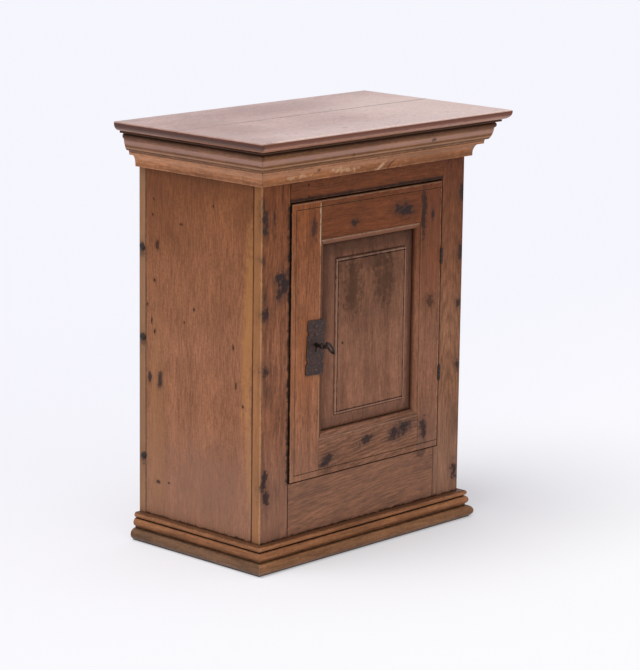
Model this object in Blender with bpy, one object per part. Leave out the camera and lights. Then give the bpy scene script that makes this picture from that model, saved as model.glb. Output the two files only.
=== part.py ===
"""Tobacco cabinet: a small joined cupboard with one panelled, locking door.

Metres, +Z up. The front faces -Y. The origin lies on the floor, under the middle of the top's outline.
"""

import math

import bmesh
import bpy
from mathutils import Vector

for leftover in list(bpy.data.objects):
    bpy.data.objects.remove(leftover, do_unlink=True)

# Driving dimensions of the whole cabinet
HEIGHT = 0.620
CARCASS_WIDTH = 0.424
CARCASS_DEPTH = 0.247
TOP_OVERHANG = 0.049
FIT = 0.0003  # gap between pieces that touch
ARRIS = 0.0012  # wear on the long edges of the boards

# Boards of the carcass
SIDE_THICKNESS = 0.016
BACK_THICKNESS = 0.013
BACK_BOARD_COUNT = 3
BACK_LAP = 0.008
BOTTOM_THICKNESS = 0.014
BOTTOM_HEIGHT = 0.026
BOTTOM_HOUSING = 0.005
SHELF_HEIGHT = 0.330
SHELF_THICKNESS = 0.012
SHELF_BEHIND_LOCK = 0.010
CLEAT_SIZE = 0.015
CLEAT_SETBACK = 0.006

# Top, two boards with a thumb moulding on three edges
TOP_THICKNESS = 0.014
TOP_FRONT_DEPTH = 0.168
TOP_JOINT_OPEN = 0.0015
TOP_LIP = 0.003
TOP_THUMB = 0.012

# Face frame, with mortise and tenon joints
FRAME_THICKNESS = 0.016
FRAME_STILE_LEFT = 0.0561
FRAME_STILE_RIGHT = 0.047
FRAME_RAIL_TOP = 0.084
FRAME_RAIL_BOTTOM = 0.118
FRAME_SLIP = 0.011
TENON_LENGTH = 0.030
TENON_THICKNESS = 0.006
TENON_SHOULDER = 0.012
STOP_HEIGHT = 0.030
STOP_LIP = 0.008
STOP_THICKNESS = 0.012
STOP_GAP = 0.0005

# Cornice, an upper and a lower strip on three sides
CORNICE_UPPER_HEIGHT = 0.0313
CORNICE_FILLET = 0.038
CORNICE_FILLET_HEIGHT = 0.0027
CORNICE_QUIRK = 0.0008
CORNICE_NOSE = 0.0328
CORNICE_NOSE_DEPTH = 0.0040
CORNICE_NOSE_HEIGHT = 0.0088
CORNICE_BELLY = 0.0300
CORNICE_BELLY_FOOT = 0.0245
CORNICE_BELLY_NECK = 0.0020
CORNICE_STEP = 0.0206
CORNICE_STEP_HEIGHT = 0.0022
CORNICE_LOWER_HEIGHT = 0.0222
COVE_FILLET = 0.020
COVE_FILLET_HEIGHT = 0.0042
COVE_TOP = 0.0165
COVE_FOOT = 0.008
COVE_FOOT_HEIGHT = 0.003

# Base, a bead and torus strip above a bullnosed plinth
PLINTH_HEIGHT = 0.0175
PLINTH_PROJECTION = 0.0185
PLINTH_NOSE = 0.0095
BASE_NECK = 0.009
BASE_NECK_HEIGHT = 0.0018
TORUS_PROJECTION = 0.0128
TORUS_RADIUS = 0.0066
BASE_QUIRK = 0.0012
BEAD_PROJECTION = 0.0108
BEAD_RADIUS = 0.0040

# Door, a tenoned frame round a fielded panel
DOOR_THICKNESS = 0.018
DOOR_GAP_LATCH = 0.0032
DOOR_GAP_HINGE = 0.0020
DOOR_GAP_TOP = 0.0028
DOOR_GAP_BOTTOM = 0.0010
DOOR_STILE_LATCH = 0.0592
DOOR_STILE_HINGE = 0.0445
DOOR_RAIL_TOP = 0.0565
DOOR_RAIL_BOTTOM = 0.055
STICKING_WIDTH = 0.0085
STICKING_DEPTH = 0.0058
STICKING_FILLET = 0.0009
GROOVE_FRONT = 0.0090
GROOVE_WIDTH = 0.0050
GROOVE_DEPTH = 0.0065
PANEL_PLAY = 0.0005
FIELD_MARGIN_LEFT = 0.0260
FIELD_MARGIN_RIGHT = 0.0220
FIELD_MARGIN_BOTTOM = 0.0215
FIELD_MARGIN_TOP = 0.0240
FIELD_SWELL = 0.0008
FIELD_SETBACK = 0.0012
FIELD_STEP = 0.0022
FIELD_FOOT = 0.0024
FIELD_FOOT_DEPTH = 0.0008
FIELD_BEAD = 0.0034
FIELD_QUIRK = 0.0010
FIELD_QUIRK_DEPTH = 0.0014
EDGE_BEAD = 0.0092
EDGE_QUIRK = 0.0015
EDGE_QUIRK_DEPTH = 0.0013

# Iron butt hinges
HINGE_HEIGHT = 0.020
HINGE_INSET = 0.112
HINGE_PROUD = 0.0005
LEAF_THICKNESS = 0.0011
LEAF_DEPTH = 0.0135
PIN_RADIUS = 0.0011
PIN_CLEARANCE = 0.0001
PIN_HEAD = 0.0009
KNUCKLE_GAP = 0.00025
KNUCKLE_ROOM = 0.0004
KNUCKLE_COUNT = 3

# Lock with its plate, bolt and key
LOCK_SETBACK = 0.0492
LOCK_HEIGHT = 0.1945
PLATE_WIDTH = 0.035
PLATE_HEIGHT = 0.079
PLATE_THICKNESS = 0.0016
PLATE_DROP = 0.004
PLATE_CORNER = 0.0020
PLATE_NOTCH = 0.0030
PLATE_NOTCH_OFFSET = 0.0205
PLATE_LEAN = math.radians(3)
PLATE_NAIL_HEIGHTS = (0.0315, 0.0195, -0.0325)
NAIL_HEAD = 0.0027
NAIL_DOME = 0.0013
NAIL_SHANK = 0.0011
NAIL_LENGTH = 0.013
KEY_SHANK = 0.0029
KEY_CLEARANCE = 0.0003
KEY_SLOT = 0.0036
KEY_COLLAR = 0.0044
KEY_COLLAR_LENGTH = 0.0045
KEY_COLLAR_REACH = 0.016
KEY_NECK = 0.0055
BOW_LENGTH = 0.0135
BOW_WIDTH = 0.0235
BOW_WIRE = 0.0019
BIT_THICKNESS = 0.003
BIT_WIDTH = 0.005
KEY_SWING = math.radians(70)
BOLT_THROW = 0.012
BOLT_THICKNESS = 0.006
BOLT_HEIGHT = 0.011
BOLT_DROP = 0.0063
BOLT_STANDOFF = 0.0025
BOLT_TAIL = 0.0275
CASE_WALL = 0.0012
CASE_INSET = 0.0022
CASE_BEYOND_KEY = 0.0310
CASE_ABOVE_KEY = 0.016
CASE_BELOW_BOLT = 0.004
CASE_BEHIND_BOLT = 0.0035
CASE_GUIDE_OFFSET = 0.0125

# Positions that follow from the driving dimensions
HALF_WIDTH = CARCASS_WIDTH / 2
Y_FRONT = -(CARCASS_DEPTH + TOP_OVERHANG) / 2 + TOP_OVERHANG
Y_BACK = Y_FRONT + CARCASS_DEPTH
Y_FRAME_BACK = Y_FRONT + FRAME_THICKNESS
Y_BOARDS = Y_BACK - BACK_THICKNESS
TOP_UNDERSIDE = HEIGHT - TOP_THICKNESS
BOARD_TOP = TOP_UNDERSIDE - FIT
INNER_HALF = HALF_WIDTH - SIDE_THICKNESS

OPENING_LEFT = -HALF_WIDTH + FRAME_STILE_LEFT
OPENING_RIGHT = HALF_WIDTH - FRAME_STILE_RIGHT
OPENING_BOTTOM = FRAME_RAIL_BOTTOM
OPENING_TOP = TOP_UNDERSIDE - FRAME_RAIL_TOP

DOOR_LEFT = OPENING_LEFT + DOOR_GAP_LATCH
DOOR_RIGHT = OPENING_RIGHT - DOOR_GAP_HINGE
DOOR_BOTTOM = OPENING_BOTTOM + DOOR_GAP_BOTTOM
DOOR_TOP = OPENING_TOP - DOOR_GAP_TOP
DOOR_BACK = Y_FRONT + DOOR_THICKNESS
JOINT_LEFT = DOOR_LEFT + DOOR_STILE_LATCH
JOINT_RIGHT = DOOR_RIGHT - DOOR_STILE_HINGE
JOINT_BOTTOM = DOOR_BOTTOM + DOOR_RAIL_BOTTOM
JOINT_TOP = DOOR_TOP - DOOR_RAIL_TOP

HINGE_X = OPENING_RIGHT - DOOR_GAP_HINGE / 2
HINGE_Y = Y_FRONT - HINGE_PROUD

KEY_X = DOOR_LEFT + LOCK_SETBACK
KEY_Z = DOOR_BOTTOM + LOCK_HEIGHT
KEY_LEAN = KEY_SWING / 2  # angle of the bit from straight down, at rest
BIT_REACH = BOLT_THROW / 2 / math.sin(KEY_LEAN)
BOLT_FRONT = Y_FRONT + max(FRAME_THICKNESS, DOOR_THICKNESS) + BOLT_STANDOFF
BOLT_BACK = BOLT_FRONT + BOLT_THICKNESS
BOLT_TOP = KEY_Z - BOLT_DROP
BOLT_BOTTOM = BOLT_TOP - BOLT_HEIGHT
CASE_BACK = BOLT_BACK + CASE_BEHIND_BOLT + CASE_WALL
PLATE_FRONT = Y_FRONT - FIT - PLATE_THICKNESS
PLATE_Z = KEY_Z - PLATE_DROP
SHELF_FRONT = CASE_BACK + SHELF_BEHIND_LOCK

FACES = {"left": (0, 0), "right": (0, 1), "front": (1, 0), "back": (1, 1), "bottom": (2, 0), "top": (2, 1)}


# Materials
def linear(hex_colour):
    """An sRGB colour, written as six hex digits, as linear red, green, blue and alpha."""
    values = [int(hex_colour[i:i + 2], 16) / 255 for i in (0, 2, 4)]
    return [v / 12.92 if v <= 0.04045 else ((v + 0.055) / 1.055) ** 2.4 for v in values] + [1.0]


def material(name, hex_colour, roughness, metallic=0.0):
    made = bpy.data.materials.new(name)
    made.use_nodes = True
    shader = made.node_tree.nodes["Principled BSDF"]
    shader.inputs["Base Color"].default_value = linear(hex_colour)
    shader.inputs["Roughness"].default_value = roughness
    shader.inputs["Metallic"].default_value = metallic
    return made


SIDE_WOOD = material("side_wood", "84553c", 0.5)
FRAME_WOOD = material("frame_wood", "74472f", 0.5)
DOOR_WOOD = material("door_wood", "7d4d32", 0.45)
TOP_WOOD = material("top_wood", "9a6b50", 0.4)
MOULDING_WOOD = material("moulding_wood", "8a5c3c", 0.45)
INSIDE_WOOD = material("inside_wood", "94704f", 0.7)
IRON = material("wrought_iron", "463a38", 0.55, 0.8)


# Mesh building
def box(low, high, eased=(), radius=ARRIS):
    """A box between two corners. Each pair of faces in eased names an edge that is rounded over."""
    bm = bmesh.new()
    bmesh.ops.create_cube(bm, size=1.0)
    corners = (Vector(low), Vector(high))
    for vert in bm.verts:
        vert.co = Vector([corners[int(vert.co[i] > 0)][i] for i in range(3)])

    def lies_on(vert, face):
        axis, end = FACES[face]
        return abs(vert.co[axis] - corners[end][axis]) < FIT / 10

    edges = [
        edge for edge in bm.edges
        if any(all(lies_on(vert, face) for vert in edge.verts for face in pair) for pair in eased)
    ]
    if edges:
        bmesh.ops.bevel(bm, geom=edges, offset=radius, segments=2, profile=0.5, affect="EDGES")
    return bm


def loft(rings, closed=False):
    """A closed solid through rings of points. A closed loft joins its last ring to its first."""
    bm = bmesh.new()
    rows = [[bm.verts.new(point) for point in ring] for ring in rings]
    following = rows[1:] + rows[:1] if closed else rows[1:]
    for row, upper in zip(rows, following):
        for i in range(len(row)):
            j = (i + 1) % len(row)
            bm.faces.new((row[i], row[j], upper[j], upper[i]))
    if not closed:
        bm.faces.new(rows[0])
        bm.faces.new(rows[-1])
    bmesh.ops.recalc_face_normals(bm, faces=bm.faces)
    return bm


def arc(centre, radii, start, end, steps):
    """Points along part of an ellipse, angles in degrees."""
    turn = [math.radians(start + (end - start) * i / steps) for i in range(steps + 1)]
    return [(centre[0] + radii[0] * math.cos(a), centre[1] + radii[1] * math.sin(a)) for a in turn]


def circle(centre, radius, z, sides):
    return [(x, y, z) for x, y in arc(centre, (radius, radius), 0, 360 - 360 / sides, sides - 1)]


def upright(centre, radius, low, high, sides=24):
    """A cylinder along Z."""
    return loft([circle(centre, radius, z, sides) for z in (low, high)])


def facing(outline, front, back):
    """A prism along Y from an outline of (x, z) points."""
    return loft([[(x, y, z) for x, z in outline] for y in (front, back)])


# Objects
def add(name, bm, look, round_faces=False):
    mesh = bpy.data.meshes.new(name)
    bm.to_mesh(mesh)
    bm.free()
    mesh.materials.append(look)
    if round_faces:
        mesh.shade_smooth()
        mesh.set_sharp_from_angle(angle=math.radians(35))
    made = bpy.data.objects.new(name, mesh)
    bpy.context.collection.objects.link(made)
    return made


def combine(body, bm, operation):
    """Joins a mesh to an object, or cuts it away, and keeps only the result."""
    tool = add("tool", bm, body.data.materials[0])
    modifier = body.modifiers.new(operation.lower(), "BOOLEAN")
    modifier.operation = operation
    modifier.solver = "EXACT"
    modifier.object = tool
    depsgraph = bpy.context.evaluated_depsgraph_get()
    result = bpy.data.meshes.new_from_object(body.evaluated_get(depsgraph))
    body.modifiers.clear()
    body.data = result
    result.name = body.name
    bpy.data.objects.remove(tool, do_unlink=True)


def cut(body, bm):
    combine(body, bm, "DIFFERENCE")


def join(body, bm):
    combine(body, bm, "UNION")


def axis_empty(name, place):
    made = bpy.data.objects.new(name, None)
    made.empty_display_size = 0.02
    made.location = place
    bpy.context.collection.objects.link(made)
    return made


def hang(child, parent):
    """Parents an object without moving it."""
    bpy.context.view_layer.update()
    child.parent = parent
    child.matrix_parent_inverse = parent.matrix_world.inverted()


# Sides, bottom, shelf and back boards
def side(name, sign):
    outer = sign * HALF_WIDTH
    inner = sign * INNER_HALF
    low = (min(outer, inner), Y_FRAME_BACK + FIT, 0)
    high = (max(outer, inner), Y_BOARDS - FIT, BOARD_TOP)
    made = add(name, box(low, high), SIDE_WOOD)
    housing = sorted((inner + sign * BOTTOM_HOUSING, inner - sign * BOTTOM_HOUSING))
    cut(made, box(
        (housing[0], low[1] - FIT, BOTTOM_HEIGHT - FIT),
        (housing[1], high[1] + FIT, BOTTOM_HEIGHT + BOTTOM_THICKNESS + FIT),
    ))


side("side_left", -1)
side("side_right", 1)

bottom_reach = INNER_HALF + BOTTOM_HOUSING - FIT
add("bottom_board", box(
    (-bottom_reach, Y_FRAME_BACK + FIT, BOTTOM_HEIGHT),
    (bottom_reach, Y_BOARDS - FIT, BOTTOM_HEIGHT + BOTTOM_THICKNESS),
), INSIDE_WOOD)

add("shelf", box(
    (-INNER_HALF + FIT, SHELF_FRONT, SHELF_HEIGHT),
    (INNER_HALF - FIT, Y_BOARDS - FIT, SHELF_HEIGHT + SHELF_THICKNESS),
    [("front", "top"), ("front", "bottom")],
), INSIDE_WOOD)

for cleat_name, cleat_left in (
    ("shelf_cleat_left", -INNER_HALF + FIT),
    ("shelf_cleat_right", INNER_HALF - FIT - CLEAT_SIZE),
):
    add(cleat_name, box(
        (cleat_left, SHELF_FRONT + CLEAT_SETBACK, SHELF_HEIGHT - FIT - CLEAT_SIZE),
        (cleat_left + CLEAT_SIZE, Y_BOARDS - FIT, SHELF_HEIGHT - FIT),
        [("front", "bottom"), ("front", "left"), ("front", "right")],
    ), INSIDE_WOOD)


def back_board(index):
    """An upright board, rebated to lap behind the board on its left."""
    width = CARCASS_WIDTH / BACK_BOARD_COUNT
    left = -HALF_WIDTH + width * index
    right = left + width
    middle = (Y_BOARDS + Y_BACK) / 2
    lap_left = BACK_LAP / 2 if index > 0 else 0
    lap_right = BACK_LAP / 2 if index < BACK_BOARD_COUNT - 1 else 0
    gap_left = FIT if index > 0 else 0
    outline = [
        (left + lap_left + gap_left, Y_BOARDS), (right + lap_right, Y_BOARDS),
        (right + lap_right, middle - FIT), (right - lap_right, middle - FIT),
        (right - lap_right, Y_BACK), (left - lap_left + gap_left, Y_BACK),
        (left - lap_left + gap_left, middle), (left + lap_left + gap_left, middle),
    ]
    plain = [point for i, point in enumerate(outline) if point not in outline[:i]]
    corners = [
        point for i, point in enumerate(plain)
        if (Vector(point) - Vector(plain[i - 1])).cross(Vector(plain[(i + 1) % len(plain)]) - Vector(point))
    ]
    add(f"back_board_{index + 1}", loft([[(x, y, z) for x, y in corners] for z in (0, BOARD_TOP)]), INSIDE_WOOD)


for number in range(BACK_BOARD_COUNT):
    back_board(number)


# Top boards, with the thumb moulding worked on the outer edges
def top_edge():
    """Overhang and height of the edge, from the underside to the upper arris."""
    thumb = (TOP_OVERHANG - TOP_THUMB, HEIGHT - TOP_LIP)
    curve = arc(thumb, (TOP_THUMB, TOP_THICKNESS - TOP_LIP), -90, 0, 10)
    return curve + [(TOP_OVERHANG, HEIGHT - ARRIS), (TOP_OVERHANG - ARRIS, HEIGHT)]


top_joint_y = Y_FRONT - TOP_OVERHANG + TOP_FRONT_DEPTH


def opened_joint(x):
    """The rear board's front edge: close to the front board at the left end, shrunk away at the right end."""
    share = (1 + x / (HALF_WIDTH + TOP_OVERHANG)) / 2
    return top_joint_y + FIT + (TOP_JOINT_OPEN - FIT) * share


def top_front_ring(out, z):
    reach = HALF_WIDTH + out
    front = Y_FRONT - out
    return [(-reach, front, z), (reach, front, z), (reach, top_joint_y, z), (-reach, top_joint_y, z)]


def top_rear_ring(out, z):
    reach = HALF_WIDTH + out
    return [
        (-reach, opened_joint(-reach), z), (reach, opened_joint(reach), z), (reach, Y_BACK, z), (-reach, Y_BACK, z)
    ]


add("top_board_front", loft([top_front_ring(out, z) for out, z in top_edge()]), TOP_WOOD)
add("top_board_rear", loft([top_rear_ring(out, z) for out, z in top_edge()]), TOP_WOOD)


# Face frame
def tenon(shoulder, sign, low, high, thickness, extra):
    """A tenon that leaves a shoulder towards sign, or with extra room its mortise."""
    middle = Y_FRONT + thickness / 2
    half = TENON_THICKNESS / 2 + extra
    ends = sorted((shoulder - sign * FIT, shoulder + sign * (TENON_LENGTH + extra)))
    return box(
        (ends[0], middle - half, low + TENON_SHOULDER - extra),
        (ends[1], middle + half, high - TENON_SHOULDER + extra),
    )


def frame_stile(name, left, right, inner, sign):
    edge = ("front", "right") if sign < 0 else ("front", "left")
    outer = ("front", "left") if sign < 0 else ("front", "right")
    made = add(name, box((left, Y_FRONT, 0), (right, Y_FRAME_BACK, BOARD_TOP), [edge, outer]), FRAME_WOOD)
    for low, high in ((0, OPENING_BOTTOM), (OPENING_TOP, BOARD_TOP)):
        cut(made, tenon(inner, sign, low, high, FRAME_THICKNESS, FIT))
    return made


frame_stile("frame_stile_left", -HALF_WIDTH, OPENING_LEFT, OPENING_LEFT, -1)
frame_stile_right = frame_stile("frame_stile_right", OPENING_RIGHT, HALF_WIDTH, OPENING_RIGHT, 1)


def frame_rail(name, low, high, eased):
    made = add(name, box(
        (OPENING_LEFT + FIT, Y_FRONT, low), (OPENING_RIGHT - FIT, Y_FRAME_BACK, high), [eased]
    ), FRAME_WOOD)
    join(made, tenon(OPENING_LEFT + FIT, -1, low, high, FRAME_THICKNESS, 0))
    join(made, tenon(OPENING_RIGHT - FIT, 1, low, high, FRAME_THICKNESS, 0))
    return made


frame_rail("frame_rail_top", OPENING_TOP, BOARD_TOP, ("front", "bottom"))
frame_rail_bottom = frame_rail("frame_rail_bottom", 0, OPENING_BOTTOM, ("front", "top"))

# A slip let into the face of the bottom rail, at its joint with the right stile
slip_back = Y_FRONT + (FRAME_THICKNESS - TENON_THICKNESS) / 2 - FIT
cut(frame_rail_bottom, box(
    (OPENING_RIGHT - FRAME_SLIP, Y_FRONT - ARRIS, -FIT),
    (OPENING_RIGHT + FIT, slip_back, OPENING_BOTTOM + FIT),
))
add("frame_slip", box(
    (OPENING_RIGHT - FRAME_SLIP + FIT, Y_FRONT, 0),
    (OPENING_RIGHT - FIT, slip_back - FIT, OPENING_BOTTOM),
    [("front", "top")],
), FRAME_WOOD)

# Rebated batten behind the top rail, which the door closes against
stop_front = Y_FRAME_BACK + FIT
stop_lip_front = DOOR_BACK + STOP_GAP
stop_back = max(stop_front, stop_lip_front) + STOP_THICKNESS
stop_outline = [
    (stop_front, OPENING_TOP + STOP_HEIGHT - STOP_LIP), (stop_front, OPENING_TOP), (stop_lip_front, OPENING_TOP),
    (stop_lip_front, OPENING_TOP - STOP_LIP), (stop_back, OPENING_TOP - STOP_LIP),
    (stop_back, OPENING_TOP + STOP_HEIGHT - STOP_LIP),
]
add("door_stop", loft([[(x, y, z) for y, z in stop_outline] for x in (OPENING_LEFT, OPENING_RIGHT)]), INSIDE_WOOD)


# Mouldings, mitred at the two front corners
def mouldings(name, profile):
    """Front, left and right strips from a profile of (outward, height) points."""
    front = [
        [(sign * (HALF_WIDTH + out - FIT), Y_FRONT - out, z) for out, z in profile] for sign in (-1, 1)
    ]
    add(f"{name}_front", loft(front), MOULDING_WOOD)
    for side_name, sign in (("left", -1), ("right", 1)):
        ends = [
            [(sign * (HALF_WIDTH + out), Y_FRONT - out, z) for out, z in profile],
            [(sign * (HALF_WIDTH + out), Y_BACK, z) for out, z in profile],
        ]
        add(f"{name}_{side_name}", loft(ends), MOULDING_WOOD)


cornice_top = BOARD_TOP
cornice_middle = cornice_top - CORNICE_UPPER_HEIGHT
cornice_bottom = cornice_middle - FIT - CORNICE_LOWER_HEIGHT

fillet_bottom = cornice_top - CORNICE_FILLET_HEIGHT
nose_x = CORNICE_NOSE - CORNICE_NOSE_DEPTH
nose_z = fillet_bottom - CORNICE_QUIRK - CORNICE_NOSE_HEIGHT / 2
nose = arc((nose_x, nose_z), (CORNICE_NOSE_DEPTH, CORNICE_NOSE_HEIGHT / 2), -60, 90, 10)
belly_z = nose[0][1] - CORNICE_BELLY_NECK
step_z = cornice_middle + CORNICE_STEP_HEIGHT
belly_from = math.radians(-65)
belly_to = math.radians(-15)
belly_depth = (CORNICE_BELLY - CORNICE_BELLY_FOOT) / (math.cos(belly_to) - math.cos(belly_from))
belly_rise = (belly_z - step_z) / (math.sin(belly_to) - math.sin(belly_from))
belly = arc(
    (CORNICE_BELLY - belly_depth * math.cos(belly_to), belly_z - belly_rise * math.sin(belly_to)),
    (belly_depth, belly_rise), math.degrees(belly_from), math.degrees(belly_to), 10,
)
mouldings("cornice_upper", [
    (FIT, cornice_middle), (CORNICE_STEP, cornice_middle), (CORNICE_STEP, step_z), (belly[0][0], step_z),
    *belly, (CORNICE_BELLY, nose[0][1] - CORNICE_BELLY_NECK / 3), *nose,
    (nose_x, fillet_bottom), (CORNICE_FILLET, fillet_bottom), (CORNICE_FILLET, cornice_top), (FIT, cornice_top),
])

cove_top = cornice_middle - FIT - COVE_FILLET_HEIGHT
cove_foot = cornice_bottom + COVE_FOOT_HEIGHT
mouldings("cornice_lower", [
    (FIT, cornice_bottom), (COVE_FOOT, cornice_bottom),
    *arc((COVE_TOP, cove_foot), (COVE_TOP - COVE_FOOT, cove_top - cove_foot), 180, 90, 10),
    (COVE_FILLET, cove_top), (COVE_FILLET, cornice_middle - FIT), (FIT, cornice_middle - FIT),
])

plinth_nose = arc(
    (PLINTH_PROJECTION - PLINTH_NOSE, PLINTH_HEIGHT / 2), (PLINTH_NOSE, PLINTH_HEIGHT / 2), -62, 90, 12
)
mouldings("plinth", [(FIT, 0), (plinth_nose[0][0], 0), *plinth_nose, (FIT, PLINTH_HEIGHT)])

torus_from = math.radians(70)
torus_to = math.radians(65)
base_bottom = PLINTH_HEIGHT + FIT
torus_z = base_bottom + BASE_NECK_HEIGHT + TORUS_RADIUS * math.sin(torus_from)
bead_z = torus_z + TORUS_RADIUS * math.sin(torus_to) + BASE_QUIRK + BEAD_RADIUS * math.sin(torus_from)
bead_x = BEAD_PROJECTION - BEAD_RADIUS
torus = arc(
    (TORUS_PROJECTION - TORUS_RADIUS, torus_z), (TORUS_RADIUS, TORUS_RADIUS),
    -math.degrees(torus_from), math.degrees(torus_to), 12,
)
mouldings("base_moulding", [
    (FIT, base_bottom), (BASE_NECK, base_bottom), (BASE_NECK, base_bottom + BASE_NECK_HEIGHT), *torus,
    (bead_x, torus[-1][1] + BASE_QUIRK / 2),
    *arc((bead_x, bead_z), (BEAD_RADIUS, BEAD_RADIUS), -math.degrees(torus_from), 90, 10),
    (FIT, bead_z + BEAD_RADIUS),
])


# Door frame. The sticking is an ovolo on the inner edges, with the groove for the panel behind it
def sticking():
    """Inward distance from the joint line and depth behind the face, from front to back."""
    ovolo = [
        (STICKING_WIDTH - (STICKING_WIDTH - STICKING_FILLET) * (1 - math.sin(a)),
         STICKING_FILLET + (STICKING_DEPTH - STICKING_FILLET) * (1 - math.cos(a)))
        for a in (math.radians(90 * i / 8) for i in range(9))
    ]
    groove_floor = STICKING_WIDTH - GROOVE_DEPTH
    groove_back = GROOVE_FRONT + GROOVE_WIDTH
    root = -TENON_SHOULDER / 4
    return [
        (root, 0), (0, 0), (0, STICKING_FILLET), *ovolo, (STICKING_WIDTH, GROOVE_FRONT),
        (groove_floor, GROOVE_FRONT), (groove_floor, groove_back), (STICKING_WIDTH, groove_back),
        (STICKING_WIDTH, DOOR_THICKNESS), (root, DOOR_THICKNESS),
    ]


def upright_strip(profile, joint, sign, low, high):
    """A strip along Z on the side of joint that sign gives, mitred at both ends."""
    return loft([
        [(joint + sign * inward, Y_FRONT + depth, low + max(inward, 0)) for inward, depth in profile],
        [(joint + sign * inward, Y_FRONT + depth, high - max(inward, 0)) for inward, depth in profile],
    ])


def level_strip(profile, joint, sign, left, right):
    """A strip along X, mitred at both ends."""
    return loft([
        [(left + max(inward, 0), Y_FRONT + depth, joint + sign * inward) for inward, depth in profile],
        [(right - max(inward, 0), Y_FRONT + depth, joint + sign * inward) for inward, depth in profile],
    ])


def edge_quirk():
    """A V cut between the door's face and the bead along its edge."""
    return [
        (EDGE_BEAD - EDGE_QUIRK, -EDGE_QUIRK_DEPTH), (EDGE_BEAD + EDGE_QUIRK, -EDGE_QUIRK_DEPTH),
        (EDGE_BEAD, EDGE_QUIRK_DEPTH),
    ]


def cut_level_quirks(body):
    """Cuts the quirks along the door's top and bottom edges, which run out at the hinge side."""
    past = DOOR_RIGHT + EDGE_BEAD + EDGE_QUIRK + FIT
    for edge, sign in ((DOOR_BOTTOM, 1), (DOOR_TOP, -1)):
        cut(body, loft([
            [(DOOR_LEFT + inward, Y_FRONT + depth, edge + sign * inward) for inward, depth in edge_quirk()],
            [(past, Y_FRONT + depth, edge + sign * inward) for inward, depth in edge_quirk()],
        ]))


def door_stile(name, left, right, joint, sign, outer):
    made = add(name, box(
        (left, Y_FRONT, DOOR_BOTTOM), (right, DOOR_BACK, DOOR_TOP),
        [("front", outer), ("front", "top"), ("front", "bottom")],
    ), DOOR_WOOD)
    join(made, upright_strip(sticking(), joint, sign, JOINT_BOTTOM, JOINT_TOP))
    for low, high in ((DOOR_BOTTOM, JOINT_BOTTOM), (JOINT_TOP, DOOR_TOP)):
        cut(made, tenon(joint, -sign, low, high, DOOR_THICKNESS, FIT))
    cut_level_quirks(made)
    return made


door_stile_latch = door_stile("door_stile_latch", DOOR_LEFT, JOINT_LEFT, JOINT_LEFT, 1, "left")
door_stile_hinge = door_stile("door_stile_hinge", JOINT_RIGHT, DOOR_RIGHT, JOINT_RIGHT, -1, "right")
cut(door_stile_latch, loft([
    [(DOOR_LEFT + inward, Y_FRONT + depth, end + sign * inward) for inward, depth in edge_quirk()]
    for end, sign in ((DOOR_BOTTOM, 1), (DOOR_TOP, -1))
]))


def door_rail(name, low, high, joint, sign, outer):
    left = JOINT_LEFT + FIT
    right = JOINT_RIGHT - FIT
    made = add(name, box((left, Y_FRONT, low), (right, DOOR_BACK, high), [("front", outer)]), DOOR_WOOD)
    join(made, level_strip(sticking(), joint, sign, left, right))
    join(made, tenon(left, -1, low, high, DOOR_THICKNESS, 0))
    join(made, tenon(right, 1, low, high, DOOR_THICKNESS, 0))
    cut_level_quirks(made)
    return made


door_rail_top = door_rail("door_rail_top", JOINT_TOP, DOOR_TOP, JOINT_TOP, -1, "top")
door_rail_bottom = door_rail("door_rail_bottom", DOOR_BOTTOM, JOINT_BOTTOM, JOINT_BOTTOM, 1, "bottom")


# Door panel: a swelled margin rises from the thin edge in the grooves to a ridge, a quirk and the flat field
def panel_ring(share, extra, depth):
    """A share of the way across the margin, from the sticking to the field, and some extra way inward."""
    y = Y_FRONT + depth
    inward = STICKING_WIDTH + extra
    left = JOINT_LEFT + inward + FIELD_MARGIN_LEFT * share
    right = JOINT_RIGHT - inward - FIELD_MARGIN_RIGHT * share
    low = JOINT_BOTTOM + inward + FIELD_MARGIN_BOTTOM * share
    high = JOINT_TOP - inward - FIELD_MARGIN_TOP * share
    return [(left, y, low), (right, y, low), (right, y, high), (left, y, high)]


panel_grip = PANEL_PLAY - GROOVE_DEPTH
panel_front = GROOVE_FRONT + FIT
panel_back = GROOVE_FRONT + GROOVE_WIDTH - FIT
margin_foot = FIELD_SETBACK + FIELD_STEP
margin_rise = panel_front - margin_foot
door_panel = add("door_panel", loft([
    panel_ring(0, panel_grip, panel_back),
    panel_ring(0, panel_grip, panel_front),
    *[
        panel_ring(t, -FIELD_FOOT * t, panel_front - margin_rise * t - FIELD_SWELL * 4 * t * (1 - t))
        for t in (0, 0.25, 0.5, 0.75, 1)
    ],
    panel_ring(1, -FIELD_FOOT / 4, margin_foot + FIELD_FOOT_DEPTH),
    panel_ring(1, 0, FIELD_SETBACK + FIELD_STEP / 2),
    panel_ring(1, FIELD_STEP / 3, FIELD_SETBACK),
    panel_ring(1, FIELD_BEAD - FIELD_QUIRK, FIELD_SETBACK),
    panel_ring(1, FIELD_BEAD, FIELD_SETBACK + FIELD_QUIRK_DEPTH),
    panel_ring(1, FIELD_BEAD + FIELD_QUIRK, FIELD_SETBACK),
]), DOOR_WOOD)


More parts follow.
